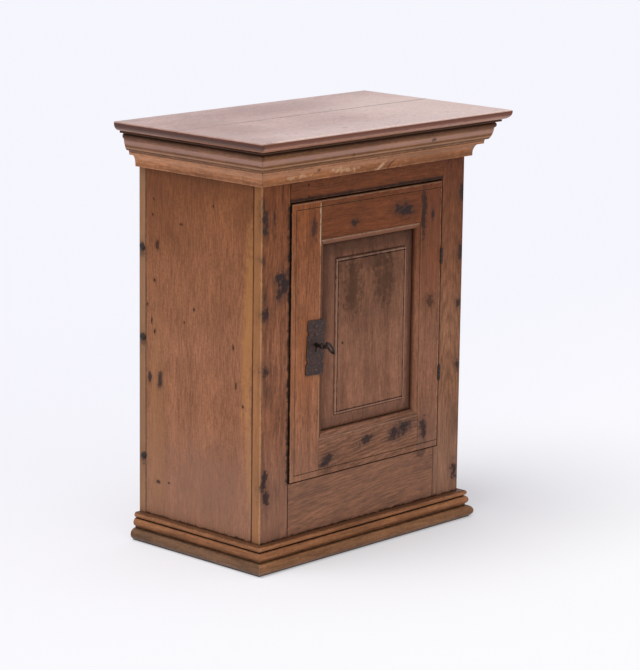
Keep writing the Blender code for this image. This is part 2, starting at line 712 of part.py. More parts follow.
# Hinges
def hinge(name, middle):
    """Two leaves and a pin, and the cuts for them in the stile of the frame and of the door."""
    low = middle - HINGE_HEIGHT / 2
    high = middle + HINGE_HEIGHT / 2
    axis = (HINGE_X, HINGE_Y)
    bore = PIN_RADIUS + PIN_CLEARANCE
    knuckle = bore + LEAF_THICKNESS
    room = knuckle + KNUCKLE_ROOM
    pitch = HINGE_HEIGHT / KNUCKLE_COUNT
    leaves = []
    for leaf_name, sign, wood, turn in (
        ("frame_leaf", 1, frame_stile_right, 0), ("door_leaf", -1, door_stile_hinge, 1)
    ):
        edge = HINGE_X + sign * DOOR_GAP_HINGE / 2
        sides = sorted((edge, edge + sign * LEAF_THICKNESS))
        leaf = add(f"{name}_{leaf_name}", box(
            (sides[0], HINGE_Y, low), (sides[1], HINGE_Y + LEAF_DEPTH, high)
        ), IRON)
        spans = [(low + pitch * i, low + pitch * (i + 1)) for i in range(KNUCKLE_COUNT)]
        for span in spans[turn::2]:
            join(leaf, upright(axis, knuckle, span[0] + KNUCKLE_GAP / 2, span[1] - KNUCKLE_GAP / 2))
        cut(leaf, upright(axis, bore, low - FIT, high + FIT))
        for span in spans[1 - turn::2]:
            cut(leaf, upright(axis, room, span[0] - KNUCKLE_GAP / 2, span[1] + KNUCKLE_GAP / 2))
        recess = sorted((edge - sign * DOOR_GAP_HINGE / 4, edge + sign * (LEAF_THICKNESS + FIT)))
        cut(wood, box(
            (recess[0], Y_FRONT - ARRIS, low - FIT), (recess[1], HINGE_Y + LEAF_DEPTH + FIT, high + FIT)
        ))
        cut(wood, upright(axis, room, low - 2 * PIN_HEAD, high + 2 * PIN_HEAD))
        leaves.append(leaf)
    head = high + FIT
    pin = add(f"{name}_pin", loft([
        circle(axis, PIN_RADIUS, low - FIT, 16), circle(axis, PIN_RADIUS, head, 16),
        circle(axis, knuckle, head, 16), circle(axis, knuckle - PIN_HEAD / 2, head + PIN_HEAD, 16),
    ]), IRON, round_faces=True)
    return leaves + [pin]


upper_hinge = hinge("hinge_upper", DOOR_TOP - HINGE_INSET)
lower_hinge = hinge("hinge_lower", DOOR_BOTTOM + HINGE_INSET)


# Lock plate, cut from sheet iron with four round notches
def plate_outline():
    half_width = PLATE_WIDTH / 2
    half_height = PLATE_HEIGHT / 2
    right = [(half_width - PLATE_CORNER, -half_height), (half_width, -half_height + PLATE_CORNER)]
    for middle in (-PLATE_NOTCH_OFFSET, PLATE_NOTCH_OFFSET):
        right += arc((half_width, middle), (PLATE_NOTCH, PLATE_NOTCH), 270, 90, 8)
    right += [(half_width, half_height - PLATE_CORNER), (half_width - PLATE_CORNER, half_height)]
    left = [(-x, z) for x, z in reversed(right)]
    along, across = math.cos(PLATE_LEAN), math.sin(PLATE_LEAN)
    return [(KEY_X + x * along + z * across, PLATE_Z + z * along - x * across) for x, z in right + left]


def keyhole(extra):
    """A round hole for the shank with a slot below it for the bit."""
    radius = KEY_SHANK + KEY_CLEARANCE + extra
    half_slot = KEY_SLOT / 2 + extra
    start = -math.degrees(math.acos(half_slot / radius))
    top = arc((KEY_X, KEY_Z), (radius, radius), start, 180 - start, 20)
    foot_z = KEY_Z - BIT_REACH - KEY_CLEARANCE - extra
    return top + [(KEY_X - half_slot, foot_z), (KEY_X + half_slot, foot_z)]


def nail(z):
    """A round-headed nail through the plate into the stile."""
    dome = [math.radians(25 * i) for i in range(1, 4)]
    rings = [(NAIL_SHANK, NAIL_LENGTH), (NAIL_SHANK, -FIT), (NAIL_HEAD, -FIT)]
    rings += [(NAIL_HEAD * math.cos(a), -FIT - NAIL_DOME * math.sin(a)) for a in dome]
    return nail_loft(rings, z)


def nail_hole(z):
    shank = NAIL_SHANK + FIT
    return nail_loft([(shank, NAIL_LENGTH + FIT), (shank, -NAIL_DOME)], z)


def nail_loft(rings, z):
    """A round solid along Y from rings of (radius, depth behind the plate's front)."""
    return loft([
        [(KEY_X + x, PLATE_FRONT + y, z + up) for x, up in arc((0, 0), (r, r), 0, 330, 11)] for r, y in rings
    ])


lock_plate = add("lock_plate", facing(plate_outline(), PLATE_FRONT, Y_FRONT - FIT), IRON)
cut(lock_plate, facing(keyhole(0), PLATE_FRONT - FIT, Y_FRONT))
cut(door_stile_latch, facing(keyhole(FIT), PLATE_FRONT, DOOR_BACK + FIT))

plate_nails = []
for count, nail_height in enumerate(PLATE_NAIL_HEIGHTS, 1):
    cut(lock_plate, nail_hole(PLATE_Z + nail_height))
    cut(door_stile_latch, nail_hole(PLATE_Z + nail_height))
    plate_nails.append(add(f"lock_plate_nail_{count}", nail(PLATE_Z + nail_height), IRON, round_faces=True))

# Lock case, an iron tray on the inside of the door with slots that guide the bolt
case_left = DOOR_LEFT + CASE_INSET
case_right = KEY_X + CASE_BEYOND_KEY
case_low = BOLT_BOTTOM - CASE_BELOW_BOLT
case_high = KEY_Z + CASE_ABOVE_KEY
case_front = DOOR_BACK + FIT
lock_case = add("lock_case", box(
    (case_left, case_front, case_low), (case_right, CASE_BACK, case_high),
    [("back", "left"), ("back", "right"), ("back", "top"), ("back", "bottom")], CASE_WALL / 2,
), IRON)
cut(lock_case, box(
    (case_left + CASE_WALL, case_front - FIT, case_low + CASE_WALL),
    (case_right - CASE_WALL, CASE_BACK - CASE_WALL, case_high - CASE_WALL),
))
guide = KEY_X + CASE_GUIDE_OFFSET
join(lock_case, box(
    (guide, case_front + FIT, case_low + CASE_WALL / 2),
    (guide + CASE_WALL, CASE_BACK - CASE_WALL / 2, BOLT_TOP + CASE_WALL),
))
cut(lock_case, box(
    (case_left - FIT, BOLT_FRONT - FIT, BOLT_BOTTOM - FIT),
    (guide + 2 * CASE_WALL, BOLT_BACK + FIT, BOLT_TOP + FIT),
))

# Bolt, with a notch in its upper edge that the bit of the key works in
bolt_tip = case_left + FIT
notch_middle = KEY_X + BOLT_THROW / 2
notch_half = (
    BOLT_THROW / 2 - BOLT_DROP * math.tan(KEY_LEAN) + BIT_THICKNESS / 2 / math.cos(KEY_LEAN) + KEY_CLEARANCE
)
notch_floor = KEY_Z - math.hypot(BIT_REACH, BIT_THICKNESS / 2) - KEY_CLEARANCE
lock_bolt = add("lock_bolt", facing([
    (bolt_tip, BOLT_BOTTOM), (KEY_X + BOLT_TAIL, BOLT_BOTTOM), (KEY_X + BOLT_TAIL, BOLT_TOP),
    (notch_middle + notch_half, BOLT_TOP), (notch_middle + notch_half, notch_floor),
    (notch_middle - notch_half, notch_floor), (notch_middle - notch_half, BOLT_TOP),
    (bolt_tip, BOLT_TOP),
], BOLT_FRONT, BOLT_BACK), IRON)


# Key, turned shank with a collar, an oval wire bow and a flat bit
def key_point(along, across, up):
    """A point of the key from its distance along Y, towards the bit and square to both."""
    lean = (math.sin(KEY_LEAN), -math.cos(KEY_LEAN))
    return (KEY_X + lean[0] * across - lean[1] * up, along, KEY_Z + lean[1] * across + lean[0] * up)


def shank_ring(y, radius):
    return [key_point(y, a, b) for a, b in arc((0, 0), (radius, radius), 0, 345, 23)]


collar_far = PLATE_FRONT - KEY_COLLAR_REACH
collar_near = collar_far + KEY_COLLAR_LENGTH
bow_root = collar_far - KEY_NECK
key_end = BOLT_BACK + CASE_BEHIND_BOLT / 2
key = add("key", loft([
    shank_ring(key_end, KEY_SHANK), shank_ring(collar_near + KEY_COLLAR_LENGTH / 3, KEY_SHANK),
    shank_ring(collar_near, KEY_COLLAR), shank_ring(collar_far + KEY_COLLAR_LENGTH / 3, KEY_COLLAR),
    shank_ring(collar_far, KEY_SHANK), shank_ring(bow_root - BOW_WIRE / 2, KEY_SHANK * 0.8),
]), IRON)

bow_middle = bow_root - BOW_LENGTH / 2
bow_rings = []
for step in range(28):
    angle = 2 * math.pi * step / 28
    ring = []
    for out, up in arc((0, 0), (BOW_WIRE, BOW_WIRE), 0, 315, 7):
        ring.append(key_point(
            bow_middle + (BOW_LENGTH / 2 - BOW_WIRE + out) * math.cos(angle),
            (BOW_WIDTH / 2 - BOW_WIRE + out) * math.sin(angle), up,
        ))
    bow_rings.append(ring)
join(key, loft(bow_rings, closed=True))

bit_middle = (BOLT_FRONT + BOLT_BACK) / 2
bit_corners = [(0, -1), (1, -1), (1, 1), (0, 1)]
join(key, loft([
    [key_point(bit_middle + end * BIT_WIDTH / 2, BIT_REACH * out, BIT_THICKNESS / 2 * up) for out, up in bit_corners]
    for end in (-1, 1)
]))
key.data.shade_smooth()
key.data.set_sharp_from_angle(angle=math.radians(35))

# Joint axes: the door on its hinge pins, the key in its hole, and the bolt along its guides
door_axis = axis_empty("door_axis", (HINGE_X, HINGE_Y, (DOOR_BOTTOM + DOOR_TOP) / 2))
key_axis = axis_empty("key_axis", (KEY_X, PLATE_FRONT, KEY_Z))
bolt_axis = axis_empty("bolt_axis", (bolt_tip, bit_middle, (BOLT_BOTTOM + BOLT_TOP) / 2))
hang(key, key_axis)
hang(lock_bolt, bolt_axis)
for piece in (
    key_axis, bolt_axis, door_stile_latch, door_stile_hinge, door_rail_top, door_rail_bottom, door_panel,
    upper_hinge[1], lower_hinge[1], lock_plate, *plate_nails, lock_case,
):
    hang(piece, door_axis)
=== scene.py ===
import math

import bmesh
import bpy
from mathutils import Matrix, Vector


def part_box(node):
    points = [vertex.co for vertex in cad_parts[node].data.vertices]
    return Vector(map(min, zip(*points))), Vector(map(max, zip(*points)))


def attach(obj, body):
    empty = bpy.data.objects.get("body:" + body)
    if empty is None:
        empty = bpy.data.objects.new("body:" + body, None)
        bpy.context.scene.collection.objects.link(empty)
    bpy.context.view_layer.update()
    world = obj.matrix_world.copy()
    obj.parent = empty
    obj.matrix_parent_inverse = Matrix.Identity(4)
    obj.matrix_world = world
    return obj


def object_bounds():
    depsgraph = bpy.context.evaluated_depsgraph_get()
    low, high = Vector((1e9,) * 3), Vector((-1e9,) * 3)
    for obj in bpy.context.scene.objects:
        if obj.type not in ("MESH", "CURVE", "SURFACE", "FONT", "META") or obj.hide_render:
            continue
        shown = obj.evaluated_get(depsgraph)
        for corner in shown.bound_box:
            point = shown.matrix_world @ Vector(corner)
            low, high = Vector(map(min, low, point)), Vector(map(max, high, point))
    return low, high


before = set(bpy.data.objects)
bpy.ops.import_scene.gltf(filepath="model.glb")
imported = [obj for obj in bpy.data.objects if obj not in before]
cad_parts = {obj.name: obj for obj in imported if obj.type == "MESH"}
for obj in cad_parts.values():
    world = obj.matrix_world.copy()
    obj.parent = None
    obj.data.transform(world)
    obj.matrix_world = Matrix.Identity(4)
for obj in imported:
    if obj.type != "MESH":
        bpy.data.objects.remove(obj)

cad_low, cad_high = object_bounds()


# Side boards
# Two wide softwood boards, planed, with the grain upright, stained and waxed. The front frame and the
# back boards are nailed over their edges. Small knots, worm holes and a paler streak show.

MM = 0.001
ANYWHERE = (-900, 900)                   # limits in mm, further out than any face
SHARE, UNDER, OVER, MIXED = 0, 6, 7, 2   # a colour mix node's share, its two colours and its result
LEAST, MOST = 0.32, 0.68                 # nearly all of a noise lies between these


def shade(text):
    """An sRGB hex colour as the linear colour that a shader takes."""
    parts = [int(text[i:i + 2], 16) / 255 for i in (0, 2, 4)]
    return [p / 12.92 if p <= 0.04045 else ((p + 0.055) / 1.055) ** 2.4 for p in parts] + [1.0]


def add_node(tree, kind, links=None, **settings):
    """Adds one node with its settings, and sets or links its inputs. Gives back its outputs."""
    made = tree.nodes.new(kind)
    for name, value in settings.items():
        setattr(made, name, value)
    for socket, value in (links or {}).items():
        if isinstance(value, bpy.types.NodeSocket):
            tree.links.new(value, made.inputs[socket])
        else:
            made.inputs[socket].default_value = value
    return made.outputs


def waxed_wood(name, grain, tone, lit_foot_tone=None, contrast=0.3, band=14.0, run=16.0, lean=(0.0, 0.0, 0.0),
               sway=5.0, shift=0.0, pore=0.3, arches=None, drift=0.12, specks=0.1, scratches=0.0,
               strips=(), stains_or_painted_light=(), shine=0.5, gleam=0.12, wear=0.5, worn="b88c64", grime_and_shade=0.8,
               dust_and_shade=0.35, relief=0.4):
    """Old wood under wax: figure and pores along the grain, tone that drifts over the board and changes
    towards the foot as painted light and shade, paler worn edges, strips and stains at their places, corners
    darkened by dirt and painted shade. It gives a dull, warm sheen. Band, sway and shift are in mm, and a streak
    is run times as long as wide."""
    wood = bpy.data.materials.new(name)
    wood.use_nodes = True
    tree = wood.node_tree
    tree.nodes.clear()
    laid = {"data_type": "RGBA"}
    times = {"data_type": "RGBA", "blend_type": "MULTIPLY"}
    along = "XYZ".index(grain)
    middle = shade(tone)
    redder = (1.0, 1.1, 1.15)            # green and blue change more than red, so dark wood is redder
    deep = [c * (1 - contrast * k) for c, k in zip(middle, redder)] + [1.0]
    pale = [c * (1 + contrast * k) for c, k in zip(middle, redder)] + [1.0]
    place = add_node(tree, "ShaderNodeTexCoord")["Object"]
    turned = add_node(tree, "ShaderNodeMapping", {
        "Vector": place, "Rotation": [math.radians(a) for a in lean], "Location": [shift * MM] * 3})[0]

    # Sway: the grain wanders to either side over about 70 mm
    swing = [2 * sway * MM] * 3
    slow = add_node(tree, "ShaderNodeTexNoise", {
        "Vector": turned, "Scale": 1 / (70 * MM), "Detail": 1.0})[1]
    bent = add_node(tree, "ShaderNodeVectorMath", {0: slow, 1: swing, 2: turned}, operation="MULTIPLY_ADD")[0]

    # Figure: streaks of many widths, far longer than they are wide
    figure_scale = [1 / (band * MM)] * 3
    figure_scale[along] /= run
    drawn = add_node(tree, "ShaderNodeMapping", {"Vector": bent, "Scale": figure_scale})[0]
    figure = add_node(tree, "ShaderNodeTexNoise", {
        "Vector": drawn, "Scale": 1.0, "Detail": 6.0, "Roughness": 0.7})[0]
    lower = add_node(tree, "ShaderNodeMapRange", {"Value": figure, "From Min": LEAST, "From Max": 0.5})[0]
    upper = add_node(tree, "ShaderNodeMapRange", {"Value": figure, "From Min": 0.5, "From Max": MOST})[0]
    colour = add_node(tree, "ShaderNodeMix", {SHARE: lower, UNDER: deep, OVER: middle}, **laid)[MIXED]
    colour = add_node(tree, "ShaderNodeMix", {SHARE: upper, UNDER: colour, OVER: pale}, **laid)[MIXED]

    # Arches: growth rings cut at a slant, so that they show as nested curves round one place on the board
    if arches:
        centre, gap, stretch, depth = arches
        squeeze = [1.0] * 3
        squeeze[along] = stretch
        wavy = add_node(tree, "ShaderNodeVectorMath", {
            0: slow, 1: swing, 2: place}, operation="MULTIPLY_ADD")[0]
        seat = add_node(tree, "ShaderNodeMapping", {
            "Vector": wavy, "Location": [c * MM for c in centre], "Scale": squeeze}, vector_type="TEXTURE")[0]
        out = add_node(tree, "ShaderNodeVectorMath", {0: seat}, operation="LENGTH")[1]
        out = add_node(tree, "ShaderNodeMath", {0: out, 1: 2 * math.pi / (gap * MM)}, operation="MULTIPLY")[0]
        ring = add_node(tree, "ShaderNodeMath", {0: out}, operation="SINE")[0]
        line = add_node(tree, "ShaderNodeMapRange", {
            "Value": ring, "From Min": -0.6, "From Max": 1.0, "To Min": 1 + depth * 0.4, "To Max": 1 - depth})[0]
        colour = add_node(tree, "ShaderNodeMix", {SHARE: 1.0, UNDER: colour, OVER: line}, **times)[MIXED]

    # Pores: dark dashes 1.7 mm wide, about three times as wide as real ones so that they show
    pore_scale = [1 / (1.7 * MM)] * 3
    pore_scale[along] /= 13.0
    combed = add_node(tree, "ShaderNodeMapping", {"Vector": bent, "Scale": pore_scale})[0]
    pores = add_node(tree, "ShaderNodeTexNoise", {
        "Vector": combed, "Scale": 1.0, "Detail": 2.0, "Roughness": 0.6})[0]
    dashes = add_node(tree, "ShaderNodeMapRange", {
        "Value": pores, "From Min": 0.34, "From Max": 0.62, "To Min": 1 - pore, "To Max": 1 + pore * 0.6})[0]
    colour = add_node(tree, "ShaderNodeMix", {SHARE: 1.0, UNDER: colour, OVER: dashes}, **times)[MIXED]

    # Drift in patches of 60 mm and specks of 4 mm: wax, knocks and years of light have left it uneven
    clouds = add_node(tree, "ShaderNodeTexNoise", {
        "Vector": turned, "Scale": 1 / (60 * MM), "Detail": 6.0, "Roughness": 0.62})[0]
    uneven = add_node(tree, "ShaderNodeMapRange", {
        "Value": clouds, "From Min": LEAST, "From Max": MOST, "To Min": 1 - drift, "To Max": 1 + drift})[0]
    knocks = add_node(tree, "ShaderNodeTexNoise", {
        "Vector": turned, "Scale": 1 / (4 * MM), "Detail": 2.0, "Roughness": 0.6})[0]
    speck = add_node(tree, "ShaderNodeMapRange", {
        "Value": knocks, "From Min": 0.36, "From Max": 0.64, "To Min": 1 - specks, "To Max": 1 + specks * 0.7})[0]
    uneven = add_node(tree, "ShaderNodeMath", {0: uneven, 1: speck}, operation="MULTIPLY")[0]
    colour = add_node(tree, "ShaderNodeMix", {SHARE: 1.0, UNDER: colour, OVER: uneven}, **times)[MIXED]

    # Painted light and shade: the tone changes from 560 mm up the cabinet to 300 mm, from the board's tone,
    # painted darker as shade under the cornice, to the foot's own, painted lighter and greyer as light from the
    # floor, which holds below that
    if lit_foot_tone:
        height = add_node(tree, "ShaderNodeSeparateXYZ", {0: place})[2]
        floor_lit_share = add_node(tree, "ShaderNodeMapRange", {
            "Value": height, "From Min": 0.56, "From Max": 0.30})[0]
        floor_lit_change = [b / a for a, b in zip(middle, shade(lit_foot_tone))]
        colour = add_node(tree, "ShaderNodeMix", {
            SHARE: floor_lit_share, UNDER: colour, OVER: floor_lit_change}, **times)[MIXED]

    # Worn edges, paler for 1.4 mm where the wax is rubbed off, ragged by a noise of 8 mm
    ragged = add_node(tree, "ShaderNodeTexNoise", {
        "Vector": place, "Scale": 1 / (8 * MM), "Detail": 5.0, "Roughness": 0.65})[0]
    rounded = add_node(tree, "ShaderNodeBevel", {"Radius": 1.4 * MM}, samples=4)[0]
    face = add_node(tree, "ShaderNodeNewGeometry")["True Normal"]
    facing = add_node(tree, "ShaderNodeVectorMath", {0: rounded, 1: face}, operation="DOT_PRODUCT")[1]
    edge = add_node(tree, "ShaderNodeMapRange", {
        "Value": facing, "From Min": 0.985, "From Max": 0.88, "To Min": 0.0, "To Max": wear})[0]
    rubbed = add_node(tree, "ShaderNodeMapRange", {"Value": ragged, "From Min": 0.38, "From Max": 0.58})[0]
    edge = add_node(tree, "ShaderNodeMath", {0: edge, 1: rubbed}, operation="MULTIPLY")[0]
    colour = add_node(tree, "ShaderNodeMix", {SHARE: edge, UNDER: colour, OVER: shade(worn)}, **laid)[MIXED]

    # Strips of dirt or wear, and of painted light and shade, along joints and edges, with torn edges
    torn = add_node(tree, "ShaderNodeMapRange", {
        "Value": ragged, "From Min": LEAST, "From Max": MOST, "To Min": -1.0, "To Max": 1.0})[0]
    for limits, ink, strength, soft, rag in strips:
        centre = [(low + high) / 2 * MM for low, high in limits]
        half = [(high - low) / 2 * MM for low, high in limits]
        away = add_node(tree, "ShaderNodeVectorMath", {0: place, 1: centre}, operation="SUBTRACT")[0]
        away = add_node(tree, "ShaderNodeVectorMath", {0: away}, operation="ABSOLUTE")[0]
        away = add_node(tree, "ShaderNodeVectorMath", {0: away, 1: half}, operation="SUBTRACT")[0]
        across = add_node(tree, "ShaderNodeSeparateXYZ", {0: away})
        out = add_node(tree, "ShaderNodeMath", {0: across[0], 1: across[1]}, operation="MAXIMUM")[0]
        out = add_node(tree, "ShaderNodeMath", {0: out, 1: across[2]}, operation="MAXIMUM")[0]
        out = add_node(tree, "ShaderNodeMath", {0: torn, 1: rag * MM, 2: out}, operation="MULTIPLY_ADD")[0]
        there = add_node(tree, "ShaderNodeMapRange", {
            "Value": out, "From Min": -soft * MM, "From Max": 0.0, "To Min": strength, "To Max": 0.0})[0]
        colour = add_node(tree, "ShaderNodeMix", {SHARE: there, UNDER: colour, OVER: shade(ink)}, **laid)[MIXED]

    # Stains, knots and holes, and patches of painted light and shade, torn in the same way, some with a halo that
    # has bled into the wood
    for centre, radii, turn, ink, strength, halo, rag in stains_or_painted_light:
        seat = add_node(tree, "ShaderNodeMapping", {
            "Vector": place, "Location": [c * MM for c in centre], "Rotation": [math.radians(a) for a in turn],
            "Scale": [r * MM for r in radii]}, vector_type="TEXTURE")[0]
        out = add_node(tree, "ShaderNodeVectorMath", {0: seat}, operation="LENGTH")[1]
        out = add_node(tree, "ShaderNodeMath", {0: torn, 1: rag, 2: out}, operation="MULTIPLY_ADD")[0]
        there = add_node(tree, "ShaderNodeMapRange", {
            "Value": out, "From Min": 0.35, "From Max": 1.1, "To Min": strength, "To Max": 0.0},
            interpolation_type="SMOOTHSTEP")[0]
        if halo:
            bled = add_node(tree, "ShaderNodeMapRange", {
                "Value": out, "From Min": 0.6, "From Max": 2.0, "To Min": halo, "To Max": 0.0},
                interpolation_type="SMOOTHSTEP")[0]
            there = add_node(tree, "ShaderNodeMath", {0: there, 1: bled}, operation="MAXIMUM")[0]
        colour = add_node(tree, "ShaderNodeMix", {SHARE: there, UNDER: colour, OVER: shade(ink)}, **laid)[MIXED]

    # Scratches: thin lines that wander over 34 mm, where use has cut through the wax
    if scratches:
        scrawl = add_node(tree, "ShaderNodeTexNoise", {
            "Vector": place, "Scale": 1 / (34 * MM), "Detail": 3.0, "Roughness": 0.6, "Distortion": 0.6})[0]
        cut = add_node(tree, "ShaderNodeMath", {0: scrawl, 1: 0.5, 2: 0.009}, operation="COMPARE")[0]
        here = add_node(tree, "ShaderNodeMapRange", {
            "Value": clouds, "From Min": 0.46, "From Max": 0.56, "To Min": 0.0, "To Max": scratches})[0]
        cut = add_node(tree, "ShaderNodeMath", {0: cut, 1: here}, operation="MULTIPLY")[0]
        colour = add_node(tree, "ShaderNodeMix", {
            SHARE: cut, UNDER: colour, OVER: shade("2a1812")}, **laid)[MIXED]

    # Corners are darkened by dirt and painted shade within 3 mm, and more thinly by dust and painted shade within
    # 18 mm
    close = add_node(tree, "ShaderNodeAmbientOcclusion", {"Distance": 3.0 * MM}, samples=8)["AO"]
    tucked = add_node(tree, "ShaderNodeMapRange", {
        "Value": close, "From Min": 0.85, "From Max": 0.35, "To Min": 0.0, "To Max": grime_and_shade})[0]
    wide = add_node(tree, "ShaderNodeAmbientOcclusion", {"Distance": 18 * MM}, samples=4)["AO"]
    dusty_and_shaded = add_node(tree, "ShaderNodeMapRange", {
        "Value": wide, "From Min": 0.85, "From Max": 0.3, "To Min": 0.0, "To Max": dust_and_shade})[0]
    dirt_and_shade_share = add_node(tree, "ShaderNodeMath", {0: tucked, 1: dusty_and_shaded}, operation="MAXIMUM")[0]
    colour = add_node(tree, "ShaderNodeMix", {SHARE: dirt_and_shade_share, UNDER: colour, OVER: shade("1c0f08")}, **laid)[MIXED]

    # Wax: rougher where the pores stand open
    gloss = add_node(tree, "ShaderNodeMapRange", {
        "Value": pores, "From Min": 0.3, "From Max": 0.7, "To Min": shine + 0.12, "To Max": shine - 0.05})[0]
    height = add_node(tree, "ShaderNodeMath", {0: figure, 1: pores}, operation="ADD")[0]
    grained = add_node(tree, "ShaderNodeBump", {
        "Strength": relief, "Distance": 0.5 * MM, "Height": height, "Normal": rounded})[0]
    surface = add_node(tree, "ShaderNodeBsdfPrincipled", {
        "Base Color": colour, "Roughness": gloss, "IOR": 1.48, "Specular IOR Level": gleam,
        "Normal": grained})[0]
    add_node(tree, "ShaderNodeOutputMaterial", {"Surface": surface})
    return wood


def finish_with(finish, *names):
    """Puts a finish on CAD pieces by name."""
    for name in names:
        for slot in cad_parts[name].material_slots:
            slot.material = finish


def strip(ink, strength, soft=1.0, rag=0.5, x=ANYWHERE, y=ANYWHERE, z=ANYWHERE):
    """A strip of dirt or wear, or of painted light or shade, between limits along each axis, with a soft and
    ragged edge, all in mm.
    """
    return (x, y, z), ink, strength, soft, rag


def stain_or_painted_light(centre, radii, ink, strength, halo=0.0, turn=(0, 0, 0), rag=0.45):
    """A stain, knot or hole, or a patch of painted light or shade, at its place, in mm, with the halo that has
    bled into the wood round it.
    """
    return centre, radii, turn, ink, strength, halo, rag


# Near-black dirt, also used for painted shade in gaps and at the floor
DIRT_AND_SHADE = "1e1009"
IRON_STAIN = "2b2020"
KNOT = "3c2014"
HOLE = "1a0e08"
SIDE_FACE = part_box("side_left")[0].x / MM
FRAME_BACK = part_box("side_left")[0].y / MM
BACK_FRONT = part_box("side_left")[1].y / MM
BASE_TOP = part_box("base_moulding_front")[1].z / MM
CORNICE_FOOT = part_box("cornice_lower_front")[0].z / MM

# Painted light from the floor pales the foot, and dirt lies along the base and under the cornice
floor_light_on_foot = strip("907060", 0.36, 100, 20, z=(-200, 210))
board_strips = [floor_light_on_foot, strip(DIRT_AND_SHADE, 0.85, 2.5, 2.0, z=(BASE_TOP - 4, BASE_TOP + 3)),
                strip(DIRT_AND_SHADE, 0.5, 2.0, 1.5, z=(CORNICE_FOOT - 2.5, CORNICE_FOOT + 4))]

# Dark lines where the front frame and the back boards meet the sides
front_joint, rear_joint = {}, {}
for side, face in (("left", SIDE_FACE), ("right", -SIDE_FACE)):
    skin = (face - 2, face + 2)
    front_joint[side] = strip(DIRT_AND_SHADE, 0.9, 0.8, 0.4, x=skin, y=(FRAME_BACK - 1.4, FRAME_BACK + 1.6))
    rear_joint[side] = strip(DIRT_AND_SHADE, 0.8, 0.8, 0.4, x=skin, y=(BACK_FRONT - 1.4, BACK_FRONT + 1.0))

# Marks on the left side, by their place across and up and their half width and half height in mm
left_marks = []
for y, z, wide, tall, ink, strength, turn, rag in (
        (-74, 355, 14, 180, "b07a44", 0.55, 2, 0.3),     # pale streak near the front
        (-76, 170, 8, 120, "b07e52", 0.45, -2, 0.3),     # the same streak, lower down
        (112, 190, 26, 200, "9c7048", 0.35, 0, 0.3),     # paler rear edge
        (10, 110, 80, 60, "845e4c", 0.4, 0, 0.45),       # painted pale light from the floor, greying the foot
        (20, 540, 190, 40, "683c24", 0.25, 0, 0.45),     # painted shade below the cornice
        (112, 500, 50, 80, "663a22", 0.35, 0, 0.3)):     # darker head of the rear edge
    left_marks.append(stain_or_painted_light((SIDE_FACE, y, z), (9, wide, tall), ink, strength, turn=(turn, 0, 0), rag=rag))
for y, z, wide, tall, ink in (
        (111, 441, 6, 11, KNOT), (126, 246, 5.5, 12, IRON_STAIN), (105, 245, 7.5, 16, IRON_STAIN),
        (120, 485, 2.2, 3.0, HOLE), (116, 390, 2.8, 3.6, HOLE), (131, 353, 2.2, 3.6, HOLE),
        (122, 331, 2.4, 8, HOLE), (116, 315, 2.8, 5, HOLE), (35, 359, 2.4, 3.6, HOLE),
        (55, 337, 2.0, 3.6, HOLE), (-44, 316, 2.4, 6, HOLE), (-64, 235, 2.8, 3.6, HOLE),
        (109, 92, 6, 3.8, IRON_STAIN), (86, 95, 2.8, 2.2, HOLE), (118, 508, 1.6, 2.6, HOLE),
        (62, 478, 5, 2.8, KNOT), (-3, 512, 1.6, 3, HOLE), (-50, 262, 2.0, 8, HOLE)):
    left_marks.append(stain_or_painted_light((SIDE_FACE, y, z), (6, wide, tall), ink, 0.9, 0.15, rag=0.3))
for side, marks, shift in (("left", left_marks, 40), ("right", (), 310)):
    finish_with(waxed_wood(f"waxed old softwood, {side} side", "Z", "7d4b2b", "936145", 0.16, band=26, run=9,
                           pore=0.24, drift=0.12, specks=0.12, stains_or_painted_light=marks, shift=shift,
                           strips=board_strips + [front_joint[side], rear_joint[side]]), f"side_{side}")


# Front frame
# Two stiles and two rails of old oak, tenoned and pegged, with blue-black stains where iron nails and
# knots have bled. A narrow slip fills the right end of the bottom rail.

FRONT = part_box("frame_stile_left")[0].y / MM
STILE_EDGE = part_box("frame_stile_left")[1].x / MM
OPENING_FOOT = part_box("frame_rail_bottom")[1].z / MM
OPENING_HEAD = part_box("frame_rail_top")[0].z / MM
SLIP_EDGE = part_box("frame_slip")[0].x / MM
FRAME_SKIN, DOOR_SKIN = 10, 9            # how deep in mm a mark goes into the frame and the door


def iron_stains(deep, rows):
    """Stains of iron on the front, each by its place across and up, its half width and half height in mm,
    its turn in degrees and its strength."""
    return [stain_or_painted_light((x, FRONT, z), (wide, deep, tall), IRON_STAIN, strength, 0.25, (0, turn, 0))
            for x, z, wide, tall, turn, strength in rows]


